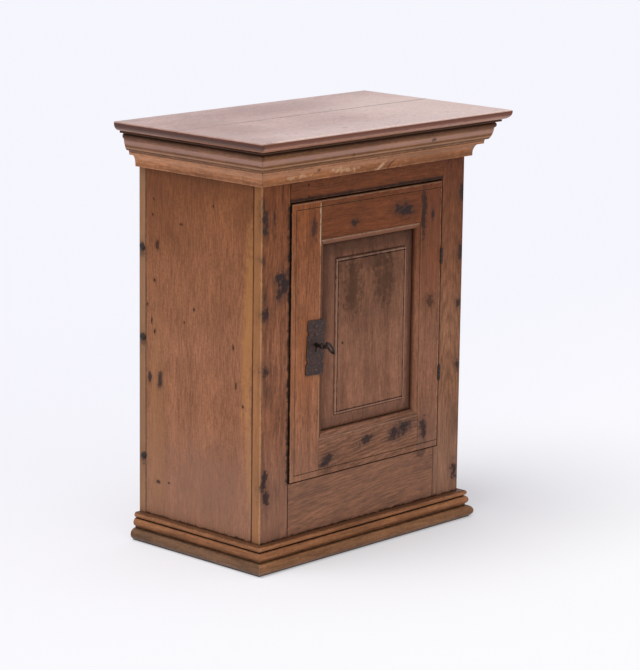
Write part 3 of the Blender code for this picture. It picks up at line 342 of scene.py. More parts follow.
# Left stile: paler where its edge shows on the side, rubbed at the corner, near black along the door with dirt
# and the painted shade of the gap
frame_joint = strip(DIRT_AND_SHADE, 0.7, 0.8, 0.5, x=(STILE_EDGE - 1.2, STILE_EDGE + 1.2))
left_stile_strips = board_strips + [
    front_joint["left"], frame_joint,
    strip("a27044", 0.6, 0.4, 0.0, x=(SIDE_FACE - 1, SIDE_FACE + 1), y=(FRAME_BACK - 40, FRAME_BACK - 1.5)),
    strip("c0946a", 0.5, 0.8, 1.2, x=(SIDE_FACE - 1, SIDE_FACE + 2), y=(FRONT - 1, FRONT + 2)),
    # dirt and painted shade of the door's gap, near black
    strip("0e0703", 0.95, 4.5, 2.5, x=(STILE_EDGE - 6, STILE_EDGE + 9), z=(OPENING_FOOT - 2, OPENING_HEAD))]
left_stile_stains = iron_stains(FRAME_SKIN, (
    (-176, 418, 15, 13, 0, 0.95), (-166, 408, 11, 16, 0, 0.9), (-175, 397, 9, 14, 0, 0.85),
    (-206, 506, 8, 13, 0, 0.9), (-205, 488, 8, 12, 0, 0.9), (-187, 505, 4, 20, 0, 0.7),
    (-204, 371, 10, 13, 0, 0.9), (-204, 290, 9, 15, 0, 0.85), (-200, 255, 8, 14, 0, 0.4),
    (-204, 132, 8, 23, 4, 0.9), (-200, 108, 8, 21, -4, 0.9), (-208, 528, 4, 10, 0, 0.7),
    (-204, 396, 6, 9, 0, 0.5), (-209, 448, 4, 8, 0, 0.6), (-172, 555, 2, 60, 0, 0.4)))
finish_with(waxed_wood("waxed old oak, left stile", "Z", "784221", "8d5b40", 0.32, band=11, run=20, sway=3,
                       arches=((-180, FRONT, 300), 9, 9, 0.1), strips=left_stile_strips,
                       stains_or_painted_light=left_stile_stains, shift=120), "frame_stile_left")

# Right stile and the slip beside it, warmer in the middle of its height
slip_joint = strip(DIRT_AND_SHADE, 0.5, 1.0, 0.8, x=(SLIP_EDGE - 1.5, SLIP_EDGE + 2), z=(0, OPENING_FOOT))
warmer = stain_or_painted_light((189, FRONT, 440), (40, FRAME_SKIN, 130), "7a4422", 0.25, rag=0.2)
right_stile_stains = [warmer] + iron_stains(FRAME_SKIN, (
    (208, 499, 7, 17, 0, 0.9), (207, 407, 7, 15, 0, 0.85), (205, 332, 7, 10, 0, 0.9),
    (206, 236, 7, 12, 0, 0.85), (204, 75, 10, 16, 0, 0.9), (203, 150, 7, 20, 0, 0.4)))
finish_with(waxed_wood("waxed old oak, right stile", "Z", "60301a", "916347", 0.28, band=10, run=18, sway=2.5,
                       arches=((189, FRONT, 130), 5, 6, 0.14), stains_or_painted_light=right_stile_stains, shift=530,
                       strips=board_strips + [front_joint["right"], slip_joint]),
            "frame_stile_right", "frame_slip")

# Rails, with two peg holes in the top one and a knot in the bottom one
peg_holes = [stain_or_painted_light((x, FRONT, z), (2.6, 9, 2.6), HOLE, 0.85, rag=0.3) for x, z in ((-120, 544), (-119, 527))]
# Painted shadow of the gap above the door, along the rail's lower edge
head_gap_shadow = strip(DIRT_AND_SHADE, 0.9, 3.0, 1.0, z=(OPENING_HEAD - 1, OPENING_HEAD + 6))
finish_with(waxed_wood("waxed old oak, top rail", "X", "6d3b1f", None, 0.25, band=9, run=24, pore=0.22,
                       strips=board_strips + [frame_joint, head_gap_shadow], stains_or_painted_light=peg_holes, shift=77),
            "frame_rail_top")
rail_knot = stain_or_painted_light((126, FRONT, 113), (16, 9, 8), "3a2622", 0.6)
finish_with(waxed_wood("waxed old oak, bottom rail", "X", "885739", None, 0.36, band=5, run=22, lean=(0, 5, 0),
                       sway=2, pore=0.5, arches=((130, FRONT, 40), 4.5, 6, 0.14),
                       strips=board_strips + [frame_joint], stains_or_painted_light=[rail_knot], shift=210),
            "frame_rail_bottom")


# Inside boards
# Back boards, bottom board, shelf, cleats and the stop behind the top rail: bare softwood, never waxed,
# greyed and dry. Rusty nails hold the back boards.

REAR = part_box("back_board_1")[1].y / MM
REAR_NAILS = ((141.8, 435.3), (140.9, 303.3), (138.9, 126.8))    # across and up the left side, in mm
bare = {"contrast": 0.35, "drift": 0.18, "shine": 0.7, "gleam": 0.15, "wear": 0.3}

# The back boards' edges show on the sides, paler, with rust below each nail. On the back, the nails stand
# in columns along the boards' edges, in rows that aren't quite level.
back_strips = [strip("926c52", 0.75, 0.4, 0.0, x=(face - 1, face + 1)) for face in (SIDE_FACE, -SIDE_FACE)]
back_strips += [rear_joint["left"], rear_joint["right"]]
back_stains = [stain_or_painted_light((SIDE_FACE, y, z - 5), (4, 9, 14), IRON_STAIN, 0.55, 0.15) for y, z in REAR_NAILS]
for column in (-200, -82, -60, 60, 82, 200):
    for row in (60, 210, 340, 470, 585):
        back_stains.append(stain_or_painted_light((column, REAR, row + column % 7), (3.4, 4, 3.8), "2b1a12", 0.9, 0.2, rag=0.3))
finish_with(waxed_wood("bare old softwood, upright", "Z", "86603c", band=20, run=14, strips=back_strips,
                       stains_or_painted_light=back_stains, shift=15, **bare), "back_board_1", "back_board_2", "back_board_3")
finish_with(waxed_wood("bare old softwood, level", "X", "86603c", band=18, run=14, shift=95, **bare),
            "bottom_board", "shelf", "door_stop")
finish_with(waxed_wood("bare old softwood, cleats", "Y", "7c5636", band=10, run=12, shift=170, **bare),
            "shelf_cleat_left", "shelf_cleat_right")


# Top boards
# Two boards joined along an open crack, with a thumb moulding on three edges, polished by use. The wax
# takes the light, and the top's tone is painted paler and pinker as sheen too, with painted highlights, so the
# top looks paler than the sides.

TOP_FACE = cad_high.z / MM
TOP_FRONT = cad_low.y / MM
TOP_LEFT = cad_low.x / MM
TOP_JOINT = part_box("top_board_front")[1].y / MM
TOP_SKIN = (TOP_FACE - 1.0, TOP_FACE + 2)
FACE_DEPTH = 1.5                         # how deep in mm a mark on the top goes
PAST_LEFT_END = (-240, 400)
top_strips = [
    # Painted sheen over the front half, and its rubbed front edge painted with a highlight
    strip("cdb2aa", 0.6, 60, 14, x=PAST_LEFT_END, y=(TOP_FRONT - 60, TOP_FRONT + 90),
          z=(TOP_FACE - 60, TOP_FACE + 60)),
    strip("f0d0bc", 0.6, 1.0, 0.6, x=PAST_LEFT_END, y=(TOP_FRONT - 2, TOP_FRONT + 6), z=TOP_SKIN),
    # The crack, open on the right and filled with old wax on the left
    strip(DIRT_AND_SHADE, 0.85, 1.2, 0.6, x=(60, 300), y=(TOP_JOINT - 2.5, TOP_JOINT + 2.5), z=TOP_SKIN),
    strip("5a3a30", 0.5, 2.0, 1.6, x=(-150, 60), y=(TOP_JOINT - 3, TOP_JOINT + 3), z=TOP_SKIN),
    # The moulded edge: dark wax, a painted highlight of the floor's light on its round, a warmer line above it,
    # and the darker left end
    strip("6a3620", 0.95, 0.6, 0.2, z=(TOP_FACE - 20, TOP_FACE - 1.2)),
    strip("b8846a", 0.6, 2.5, 0.5, z=(TOP_FACE - 15, TOP_FACE - 6.5)),
    strip("6c300c", 0.65, 1.0, 0.2, z=(TOP_FACE - 5, TOP_FACE - 1.4)),
    strip("382420", 0.65, 2.0, 0.5, x=(-300, TOP_LEFT + 5), z=(TOP_FACE - 20, TOP_FACE - 1.2))]
top_stains_and_sheen = [
    # painted sheen, paler over the right half of the top
    stain_or_painted_light((190, -10, TOP_FACE), (190, 150, FACE_DEPTH), "dcc0b2", 0.5, rag=0.12),
    stain_or_painted_light((-40, 90, TOP_FACE), (210, 60, FACE_DEPTH), "86584a", 0.5, rag=0.2),
    stain_or_painted_light((-200, 10, TOP_FACE), (70, 110, FACE_DEPTH), "8a5e4e", 0.45, rag=0.2)]
for x, y in ((-130, -60), (60, 30), (150, 80), (-60, -110), (20, -30), (110, -90)):
    top_stains_and_sheen.append(stain_or_painted_light((x, y, TOP_FACE), (5, 3.5, FACE_DEPTH), "6a4638", 0.7))
# The tone is painted pale and pink, standing in for part of the sheen
finish_with(waxed_wood("polished old softwood, top, painted sheen", "X", "ad8a7e", None, 0.1, band=30, run=6, pore=0.05,
                       drift=0.16, specks=0.08, scratches=0.35, strips=top_strips, stains_or_painted_light=top_stains_and_sheen, shine=0.3,
                       gleam=0.3, wear=0.15, worn="d0986c", dust_and_shade=0.1, relief=0.08, shift=60),
            "top_board_front", "top_board_rear")


# Cornice and base
# Strips planed to a moulding and mitred at the front corners, nailed to the frame. The grain runs along
# each strip, edges are rubbed pale, and the hollows are darkened by dirt and painted shade, with painted
# highlights on the swells.

# Lines along each strip, from its head down, between heights in mm above the floor
moulding_strips = {
    "cornice_upper": [
        strip("2c160b", 0.8, 1.5, 0.5, z=(597.5, 608)),      # shade under the top
        strip("3c2012", 0.6, 4.5, 0.8, z=(591.2, 602)),      # painted shadow of the top in the hollow
        strip("bc968a", 0.5, 2.5, 0.8, z=(584, 593.2)),      # painted highlight on the swell
        strip("5c3820", 0.5, 1.8, 0.6, z=(580.8, 585.5)),    # painted shade under the swell
        strip("b48e70", 0.5, 0.7, 0.4, z=(579.2, 582)),      # rubbed edge
        strip("452612", 0.65, 0.7, 0.4, z=(576.8, 579.4)),   # dirt and painted shade in the quirk
        strip("a87e60", 0.4, 0.6, 0.5, z=(574.2, 576.8))],   # rubbed bead
    "cornice_lower": [
        strip("3a2010", 0.6, 0.8, 0.4, z=(573.4, 575.5)),    # joint with the upper strip
        strip("d4a88c", 0.35, 1.0, 0.6, z=(571, 573.6)),     # painted highlight along the edge
        strip("d4a88c", 0.22, 3.0, 1.2, z=(561, 572)),       # paler face, with painted light
        strip("6c432a", 0.5, 4.0, 1.2, z=(551, 559.5))],     # darker foot
    "base_moulding": [
        strip(DIRT_AND_SHADE, 0.6, 1.5, 0.6, z=(38.6, 43)),            # joint with the frame
        strip(DIRT_AND_SHADE, 0.7, 0.9, 0.4, z=(30.9, 33.2)),          # quirk under the bead
        strip(DIRT_AND_SHADE, 0.5, 1.2, 0.4, z=(16.5, 19.4))],         # joint with the plinth
    "plinth": [
        strip(DIRT_AND_SHADE, 0.5, 1.0, 0.6, z=(16.4, 18.5)),          # joint with the base moulding
        strip("8c8078", 0.3, 4.0, 1.5, y=(-120, 200), z=(-3, 7)),    # grey dust along the sides' foot
        strip(DIRT_AND_SHADE, 0.5, 2.0, 0.5, z=(-3, 2.2))]}            # dirt and painted contact shade at the floor
# The sides' tones differ from the fronts' as painted light and shade, standing in for how the light falls on each
# face
front_and_side_lit_tones = {"cornice_upper": ("885832", "8c5f44"), "cornice_lower": ("a06740", "b47a54"),
                  "base_moulding": ("986541", "8e5f3f"), "plinth": ("8c6242", "70523c")}
LOWER_FACE, UPPER_FACE = -112, -120      # how far forward in mm the two cornice strips' faces lie
front_flaws = [
    stain_or_painted_light((18, LOWER_FACE, 556), (16, 14, 4), "d8b088", 0.7, turn=(0, -30, 0)),      # chip, bare wood
    stain_or_painted_light((40, LOWER_FACE, 558), (14, 14, 2.0), "3a2010", 0.8, turn=(0, -40, 0)),    # crack beside it
    stain_or_painted_light((-110, LOWER_FACE, 565), (5, 14, 3), "4a2c1a", 0.8),
    stain_or_painted_light((120, LOWER_FACE, 565), (110, 14, 16), "74492c", 0.4),
    stain_or_painted_light((-60, UPPER_FACE, 583), (6, 16, 4), "4a2c1a", 0.7),
    stain_or_painted_light((110, UPPER_FACE, 588), (6, 16, 4), "3c2416", 0.7),
    stain_or_painted_light((235, LOWER_FACE, 563), (36, 14, 14), "84604e", 0.45),
    stain_or_painted_light((-150, LOWER_FACE, 559), (24, 14, 3), "dcb48c", 0.4, rag=0.8),             # rubbed to the wood
    stain_or_painted_light((-55, LOWER_FACE, 560), (26, 14, 5), "dcb48c", 0.5, rag=0.8)]
for step, (kind, lines) in enumerate(moulding_strips.items()):
    front_tone, side_tone_painted_light = front_and_side_lit_tones[kind]
    for grain, part, tone, flaws, sides in (("X", "front", front_tone, front_flaws, ("front",)),
                                            ("Y", "sides", side_tone_painted_light, (), ("left", "right"))):
        finish_with(waxed_wood(f"waxed planed moulding, {kind} {part}", grain, tone, band=8, run=24, sway=2,
                               drift=0.2, pore=0.2, specks=0.12, strips=lines, stains_or_painted_light=flaws, wear=0.6,
                               worn="d0a688", dust_and_shade=0.15, shine=0.4, shift=31 * step),
                    *[f"{kind}_{side}" for side in sides])


# Door
# Two stiles and two rails of oak tenoned together, with a moulding stuck on the inner edges and a bead
# on the outer ones, round a fielded panel. Iron has stained it round the nails.

DOOR_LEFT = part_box("door_stile_latch")[0].x / MM
DOOR_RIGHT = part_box("door_stile_hinge")[1].x / MM
DOOR_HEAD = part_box("door_stile_latch")[1].z / MM
JOINT_LEFT, JOINT_RIGHT, JOINT_LOW, JOINT_HIGH = -93.5, 118.5, 174.0, 462.7      # inner edges of the frame
FIELD_LEFT, FIELD_RIGHT, FIELD_LOW, FIELD_HIGH = -59.0, 88.0, 204.0, 430.2       # raised field of the panel
FACE = (FRONT - 20, FRONT + 9)
inner = {"y": FACE, "z": (JOINT_LOW, JOINT_HIGH)}
door_lip = strip("b08a6c", 0.4, 1.0, 1.0, z=(DOOR_HEAD - 2.4, DOOR_HEAD + 1))

# Latch stile: rubbed bead, dirt and painted shade of the gap at its edge, moulding darkened by painted shade, and
# a pale line by the top rail's tenon
latch_strips = [
    door_lip, floor_light_on_foot,
    strip("b88a62", 0.35, 0.8, 0.8, x=(DOOR_LEFT + 0.6, DOOR_LEFT + 2.4), y=FACE),
    # dirt and painted shade of the door's gap
    strip(DIRT_AND_SHADE, 0.9, 0.5, 0.6, x=(DOOR_LEFT - 1, DOOR_LEFT + 0.8)),
    # painted shade on the moulding, which faces away from the light
    strip("4a2c20", 0.7, 1.5, 0.6, x=(JOINT_LEFT + 0.3, JOINT_LEFT + 12), **inner),
    strip("c89c70", 0.4, 0.8, 1.0, x=(JOINT_LEFT - 2, JOINT_LEFT + 0.4), **inner),
    strip("d8bc9c", 0.6, 0.8, 1.4, x=(JOINT_LEFT - 2.4, JOINT_LEFT + 0.8), y=FACE, z=(453, 517))]
latch_stains = [stain_or_painted_light((-125, FRONT, 300), (40, DOOR_SKIN, 90), "aa6230", 0.25),
                stain_or_painted_light((-108, FRONT, 484), (8, DOOR_SKIN, 18), "3a2622", 0.8, 0.25)]
finish_with(waxed_wood("waxed old oak, latch stile", "Z", "8c4c23", "976346", 0.28, band=11, run=20, pore=0.32,
                       strips=latch_strips, stains_or_painted_light=latch_stains, grime_and_shade=0.65, shift=260), "door_stile_latch")

# Hinge stile: a dark joint with the bottom rail, a rubbed moulding and a rubbed bead
hinge_strips = [
    door_lip, floor_light_on_foot,
    strip(DIRT_AND_SHADE, 0.6, 0.7, 0.5, x=(JOINT_RIGHT - 1, JOINT_RIGHT + 1.2), z=(119, JOINT_LOW)),
    strip("b4825c", 0.4, 0.8, 0.8, x=(JOINT_RIGHT - 0.4, JOINT_RIGHT + 2), **inner),
    strip("c09a80", 0.5, 0.8, 1.6, x=(DOOR_RIGHT - 2, DOOR_RIGHT + 1))]
hinge_stains = [stain_or_painted_light((140, FRONT, 430), (40, DOOR_SKIN, 130), "824724", 0.35, rag=0.2)]
for x, z, wide, tall, ink, strength in ((124, 480, 8, 46, "2e1d17", 0.9), (144, 474, 4, 12, IRON_STAIN, 0.9),
                                        (141, 344, 9, 12, "3a2618", 0.75), (132, 151, 10, 22, IRON_STAIN, 0.9)):
    hinge_stains.append(stain_or_painted_light((x, FRONT, z), (wide, DOOR_SKIN, tall), ink, strength, 0.2))
finish_with(waxed_wood("waxed old oak, hinge stile", "Z", "5c2810", "8b5d45", 0.26, band=12, run=18, pore=0.25,
                       strips=hinge_strips, stains_or_painted_light=hinge_stains, grime_and_shade=0.65, shift=390), "door_stile_hinge")

# Top rail: the moulding is painted with light, paler at its top edge, with a dark line above it
top_rail_strips = [
    door_lip,
    strip("8a6450", 0.5, 1.5, 0.6, y=FACE, z=(JOINT_HIGH - 12, JOINT_HIGH - 0.2)),
    strip("b8927a", 0.4, 0.8, 0.8, y=FACE, z=(JOINT_HIGH - 3.0, JOINT_HIGH - 0.2)),
    strip("3a1e10", 0.7, 0.6, 0.5, y=FACE, z=(JOINT_HIGH - 0.2, JOINT_HIGH + 1.4))]
top_rail_stains = [stain_or_painted_light((68, FRONT, 489), (14, DOOR_SKIN, 9), IRON_STAIN, 0.95, 0.3),
                   stain_or_painted_light((88, FRONT, 484), (16, DOOR_SKIN, 11), IRON_STAIN, 0.95, 0.3, (0, 10, 0)),
                   stain_or_painted_light((-24, FRONT, 479), (9, DOOR_SKIN, 9), "33221d", 0.95, 0.2)]
finish_with(waxed_wood("waxed old oak, door top rail", "X", "723e21", None, 0.25, band=8, run=24, pore=0.22,
                       strips=top_rail_strips, stains_or_painted_light=top_rail_stains, grime_and_shade=0.65, shift=440), "door_rail_top")

# Bottom rail: fine figure cut at a slant, and a rubbed edge above
bottom_rail_strips = [strip("b08a72", 0.4, 0.8, 0.8, y=FACE, z=(JOINT_LOW - 2, JOINT_LOW + 0.6))]
bottom_rail_stains = iron_stains(DOOR_SKIN, (
    (-78, 139, 21, 10, -14, 0.9), (6, 156, 21, 9, -20, 0.9), (66, 154, 15, 13, -20, 0.9),
    (90, 161, 21, 13, -25, 0.9)))
finish_with(waxed_wood("waxed old oak, door bottom rail", "X", "885e47", None, 0.24, band=5, run=22,
                       lean=(0, 6, 0), sway=2, pore=0.35, arches=((150, FRONT, 118), 4.5, 7, 0.14),
                       strips=bottom_rail_strips, stains_or_painted_light=bottom_rail_stains, grime_and_shade=0.65, shift=610),
            "door_rail_bottom")

# Panel: margins darkened by painted shade, most on the left by the stile and below the top rail, with painted
# light on the left margin near the ridge; dirt and painted shade above the ridge; the ridge rubbed pale with a
# painted highlight, and the dark quirk inside it, darkened by dirt and painted shade
field_width = (FIELD_LEFT, FIELD_RIGHT)
field_height = (FIELD_LOW, FIELD_HIGH)
left_margin = (-95, FIELD_LEFT - 2)
panel_strips = [
    strip("43291f", 0.35, 14, 2, x=left_margin),
    strip("43291f", 0.4, 14, 2, x=left_margin, z=(320, 480)),
    strip("86604e", 0.25, 6, 2, x=(-74, FIELD_LEFT - 0.5)),
    strip("3a2018", 0.6, 8, 2, x=(FIELD_RIGHT + 1, 115)),
    strip("432a1e", 0.5, 12, 2, z=(FIELD_HIGH + 0.5, 470)),
    strip("2a180f", 0.6, 1.5, 0.6, x=field_width, y=FACE, z=(FIELD_HIGH + 0.2, FIELD_HIGH + 3.4)),
    strip("5a4034", 0.35, 5, 2, z=(178, FIELD_LOW - 1))]
for near, far, ink, strength in ((-0.4, 2.5, "b08c76", 0.5), (2.5, 4.6, "2c1710", 0.65)):
    upright = {"soft": 0.6, "rag": 0.9, "y": FACE, "z": field_height}
    level = {"soft": 0.6, "rag": 0.9, "x": field_width, "y": FACE}
    panel_strips += [strip(ink, strength, x=(FIELD_LEFT + near, FIELD_LEFT + far), **upright),
                     strip(ink, strength, x=(FIELD_RIGHT - far, FIELD_RIGHT - near), **upright),
                     strip(ink, strength * 0.7, z=(FIELD_LOW + near, FIELD_LOW + far), **level),
                     strip(ink, strength, z=(FIELD_HIGH - far, FIELD_HIGH - near), **level)]
panel_stains = [stain_or_painted_light((-24, FRONT, 384), (27, DOOR_SKIN, 48), "3e2612", 0.6),
                stain_or_painted_light((40, FRONT, 392), (29, DOOR_SKIN, 46), "3e2612", 0.6),
                stain_or_painted_light((8, FRONT, 420), (70, DOOR_SKIN, 16), "442a1a", 0.5),
                stain_or_painted_light((-45, FRONT, 307), (2.6, DOOR_SKIN, 3.0), HOLE, 0.9, rag=0.2),
                stain_or_painted_light((5, FRONT, 190), (7, DOOR_SKIN, 5), "3c2c22", 0.6),
                stain_or_painted_light((-22, FRONT, 188), (4, DOOR_SKIN, 5), "3c2c22", 0.5)]
finish_with(waxed_wood("waxed old oak, panel", "Z", "54311b", "885c45", 0.26, band=16, run=10, pore=0.2,
                       drift=0.2, strips=panel_strips, stains_or_painted_light=panel_stains, wear=0.3, worn="b4947e", shift=720),
            "door_panel")


# Iron
# Hinges, lock plate, nails, key, lock case and bolt, all forged by hand and left black, with brown rust
# in the hollows and brighter metal where fingers have rubbed them.

def forged_iron(name, tone, rust, shine=0.5, metal=0.7, bright=0.5):
    """Forged iron under dark oxide: hammer dents 7 mm across, and rust in blotches of 3 mm. Its edges are
    rubbed bright. It gives a broken, dull glint."""
    iron = bpy.data.materials.new(name)
    iron.use_nodes = True
    tree = iron.node_tree
    tree.nodes.clear()
    laid = {"data_type": "RGBA"}
    place = add_node(tree, "ShaderNodeTexCoord")["Object"]
    dents = add_node(tree, "ShaderNodeTexNoise", {"Vector": place, "Scale": 1 / (7 * MM), "Detail": 2.0})[0]
    grit = add_node(tree, "ShaderNodeTexNoise", {"Vector": place, "Scale": 1 / (3 * MM), "Detail": 4.0})[0]
    blotch = add_node(tree, "ShaderNodeMapRange", {"Value": grit, "From Min": 0.45, "From Max": 0.68})[0]
    colour = add_node(tree, "ShaderNodeMix", {
        SHARE: blotch, UNDER: shade(tone), OVER: shade(rust)}, **laid)[MIXED]
    rounded = add_node(tree, "ShaderNodeBevel", {"Radius": 0.7 * MM}, samples=4)[0]
    face = add_node(tree, "ShaderNodeNewGeometry")["True Normal"]
    facing = add_node(tree, "ShaderNodeVectorMath", {0: rounded, 1: face}, operation="DOT_PRODUCT")[1]
    edge = add_node(tree, "ShaderNodeMapRange", {
        "Value": facing, "From Min": 0.98, "From Max": 0.85, "To Min": 0.0, "To Max": bright})[0]
    colour = add_node(tree, "ShaderNodeMix", {SHARE: edge, UNDER: colour, OVER: shade("8a7a72")}, **laid)[MIXED]
    gloss = add_node(tree, "ShaderNodeMapRange", {
        "Value": grit, "From Min": 0.3, "From Max": 0.7, "To Min": shine - 0.1, "To Max": shine + 0.2})[0]
    height = add_node(tree, "ShaderNodeMath", {0: dents, 1: grit}, operation="ADD")[0]
    relief = add_node(tree, "ShaderNodeBump", {
        "Strength": 0.6, "Distance": 0.8 * MM, "Height": height, "Normal": rounded})[0]
    surface = add_node(tree, "ShaderNodeBsdfPrincipled", {
        "Base Color": colour, "Metallic": metal, "Roughness": gloss, "Normal": relief})[0]
    add_node(tree, "ShaderNodeOutputMaterial", {"Surface": surface})
    return iron


finish_with(forged_iron("black forged iron, plate", "2c1a17", "5a3c31", 0.55, 0.3), "lock_plate", "lock_case")
nail_iron = forged_iron("worn forged iron, nails", "3a302e", "6a5850", 0.45, 0.5)
finish_with(nail_iron, "lock_plate_nail_1", "lock_plate_nail_2", "lock_plate_nail_3")
finish_with(forged_iron("black forged iron, hinges", "2c2424", "40281e", 0.6, 0.3),
            *[f"hinge_{place}_{part}" for place in ("upper", "lower")
              for part in ("frame_leaf", "door_leaf", "pin")])
finish_with(forged_iron("handled forged iron, key", "221b1a", "3c2c24", 0.4, 0.6, 0.7), "key", "lock_bolt")


# Nail heads
# Hand-forged nails with hammered, faceted heads, a little longer than wide. Three hold the left back
# board to the side, and four smaller ones hold the lock case on the inside of the door.

HEAD_RADIUS, HEAD_RIM, HEAD_CLEAR = 4.0 * MM, 1.0 * MM, 0.05 * MM
HEAD_TURN = 0.7                          # each head is turned this much further than the last, in radians
CASE_INSET = 5 * MM                      # from the lock case's edges to its nails


def pick_faces(piece, wanted):
    """Selects, in edit mode, the faces for which wanted is true."""
    shape = bmesh.from_edit_mesh(piece.data)
    for face in shape.faces:
        face.select_set(wanted(face))
    bmesh.update_edit_mesh(piece.data)


bpy.ops.object.select_all(action="DESELECT")
bpy.ops.mesh.primitive_cylinder_add(vertices=8, radius=HEAD_RADIUS, depth=HEAD_RIM,
                                    location=(0, 0, HEAD_CLEAR + HEAD_RIM / 2))
head = bpy.context.object
bpy.ops.object.transform_apply(location=True)
bpy.ops.object.mode_set(mode="EDIT")
bpy.ops.mesh.select_mode(type="FACE")
pick_faces(head, lambda face: face.normal.z > 0.9)
bpy.ops.mesh.inset(thickness=1.3 * MM)
bpy.ops.transform.translate(value=(0.4 * MM, -0.2 * MM, 0.9 * MM))
bpy.ops.mesh.inset(thickness=1.0 * MM)
bpy.ops.transform.translate(value=(0, 0, 0.25 * MM))
bpy.ops.mesh.select_all(action="SELECT")
bpy.ops.transform.resize(value=(1.0, 1.25, 1.0))
bpy.ops.mesh.bevel(offset=0.25 * MM, segments=2, affect="EDGES")
bpy.ops.object.mode_set(mode="OBJECT")
bpy.ops.object.shade_smooth_by_angle(angle=math.radians(40))

black_iron = forged_iron("black forged iron, nails", "1e1816", "382a24", 0.6, 0.3, 0.2)
nail_places = [("rear_nail", (SIDE_FACE * MM, y * MM, z * MM), (-1, 0, 0), 1.2, "carcass", black_iron)
               for y, z in REAR_NAILS]
case_low, case_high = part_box("lock_case")
nail_places += [("lock_case_nail", (x, case_high.y, z), (0, 1, 0), 0.5, "door", nail_iron)
                for x in (case_low.x + CASE_INSET, case_high.x - CASE_INSET)
                for z in (case_low.z + CASE_INSET, case_high.z - CASE_INSET)]
for count, (name, place, outward, size, body, iron) in enumerate(nail_places, 1):
    nail = head.copy()
    nail.data = head.data.copy()
    nail.name = f"{name}_{count}"
    bpy.context.collection.objects.link(nail)
    stand = Vector(outward).to_track_quat("Z", "Y").to_matrix().to_4x4()
    turn = Matrix.Rotation(HEAD_TURN * count, 4, "Z")
    nail.data.transform(Matrix.Translation(place) @ stand @ turn @ Matrix.Scale(size, 4))
    nail.data.materials.append(iron)
    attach(nail, body)
bpy.data.objects.remove(head)


# Room
# A floor of matt pale paper without an edge in view, an even pale room, and two broad soft lights from
# the left, one above and one in front. The eye sees the paper glow near white, and it still takes the
# cabinet's shadow; the glow itself is darkened near the cabinet, a painted contact shadow.

FLOOR_DROP = 0.4 * MM                    # keeps the floor clear of the cabinet's foot
GLOW = 0.42                              # share of the paper's look that is its own pale glow
ROOM_LIGHT = 0.47


def seen_by_eye(tree):
    """Gives 1 to what the camera sees, also by way of gloss or glass, and 0 to light that falls on things."""
    path = add_node(tree, "ShaderNodeLightPath")
    seen = add_node(tree, "ShaderNodeMath", {
        0: path["Is Camera Ray"], 1: path["Is Glossy Ray"]}, operation="MAXIMUM")[0]
    return add_node(tree, "ShaderNodeMath", {0: seen, 1: path["Is Transmission Ray"]}, operation="MAXIMUM")[0]


bpy.ops.object.select_all(action="DESELECT")
bpy.ops.mesh.primitive_plane_add(size=60.0, location=(0.0, 0.0, -FLOOR_DROP))
floor = bpy.context.object
floor.name = "floor"
bpy.ops.object.transform_apply(location=True)
paper = bpy.data.materials.new("matt pale paper")
paper.use_nodes = True
tree = paper.node_tree
tree.nodes.clear()
share = add_node(tree, "ShaderNodeMath", {0: seen_by_eye(tree), 1: GLOW}, operation="MULTIPLY")[0]
matt = add_node(tree, "ShaderNodeBsdfDiffuse", {"Color": shade("f8f8fa")})[0]
place = add_node(tree, "ShaderNodeTexCoord")["Object"]
depth = add_node(tree, "ShaderNodeSeparateXYZ", {0: place})[1]
far = add_node(tree, "ShaderNodeMapRange", {"Value": depth, "From Min": -0.5, "From Max": 0.9})[0]
tint = add_node(tree, "ShaderNodeMix", {
    SHARE: far, UNDER: shade("ffffff"), OVER: shade("eeeefa")}, data_type="RGBA")[MIXED]
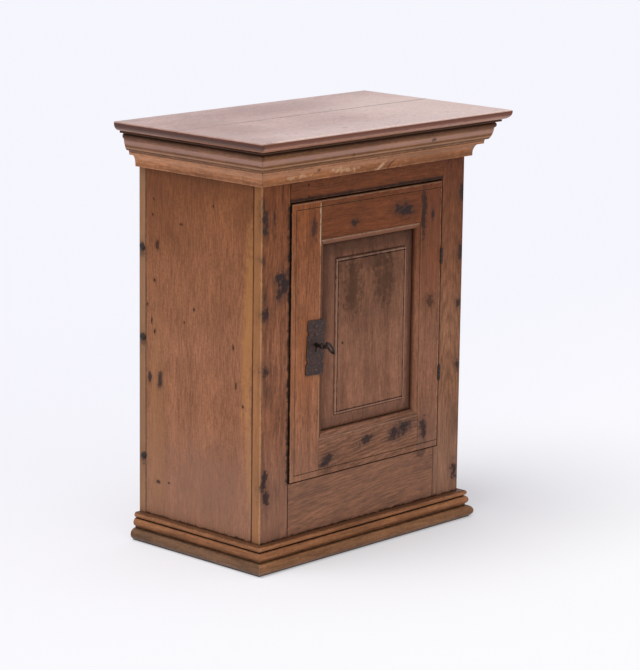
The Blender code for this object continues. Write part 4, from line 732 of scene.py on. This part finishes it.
# Painted contact shadow: the paper's glow is darker within 0.3 m of the cabinet
near = add_node(tree, "ShaderNodeAmbientOcclusion", {"Distance": 0.3}, samples=16)["AO"]
near = add_node(tree, "ShaderNodeMapRange", {"Value": near, "To Min": 0.62, "To Max": 0.965})[0]
glow = add_node(tree, "ShaderNodeEmission", {"Color": tint, "Strength": near})[0]
both = add_node(tree, "ShaderNodeMixShader", {0: share, 1: matt, 2: glow})[0]
add_node(tree, "ShaderNodeOutputMaterial", {"Surface": both})
floor.data.materials.append(paper)

room = bpy.data.worlds.new("pale room")
bpy.context.scene.world = room
room.use_nodes = True
tree = room.node_tree
tree.nodes.clear()
level = add_node(tree, "ShaderNodeMapRange", {
    "Value": seen_by_eye(tree), "To Min": ROOM_LIGHT, "To Max": 1.0})[0]
air = add_node(tree, "ShaderNodeBackground", {"Color": shade("f8f7fe"), "Strength": level})[0]
add_node(tree, "ShaderNodeOutputWorld", {"Surface": air})

for title, towards, energy, spread in (("soft light above", (0.42, -0.05, -0.90), 1.9, 42),
                                       ("soft light in front", (0.35, 0.85, -0.40), 0.5, 80)):
    towards = Vector(towards)
    bpy.ops.object.light_add(type="SUN", location=-3 * towards)
    lamp = bpy.context.object
    lamp.name = title
    lamp.data.energy = energy
    lamp.data.angle = math.radians(spread)
    lamp.rotation_euler = towards.to_track_quat("-Z", "Y").to_euler()


# Camera
# It stands to the left of the front and a little above the top, about four metres off with a long lens,
# and leans by less than a degree. The picture is 640 by 670 pixels, so the lens fits its height.

YAW, PITCH, ROLL = math.radians(46.547), math.radians(12.264), math.radians(0.735)
EYE = Vector((-2.9417, -2.7975, 1.1789))
LENS_PIXELS, PICTURE_HEIGHT, SENSOR = 2835.6, 670, 36.0
forward = Vector((math.sin(YAW) * math.cos(PITCH), math.cos(YAW) * math.cos(PITCH), -math.sin(PITCH)))
level_right = Vector((math.cos(YAW), -math.sin(YAW), 0.0))
level_up = level_right.cross(forward)
right = math.cos(ROLL) * level_right + math.sin(ROLL) * level_up
up = math.cos(ROLL) * level_up - math.sin(ROLL) * level_right
bpy.ops.object.camera_add(location=EYE)
camera = bpy.context.object
camera.matrix_world = Matrix.Translation(EYE) @ Matrix((right, up, -forward)).transposed().to_4x4()
camera.data.lens = LENS_PIXELS / PICTURE_HEIGHT * SENSOR
camera.data.sensor_width = SENSOR
camera.data.clip_end = 200.0
bpy.context.scene.camera = camera
bpy.context.scene.view_settings.view_transform = "Standard"
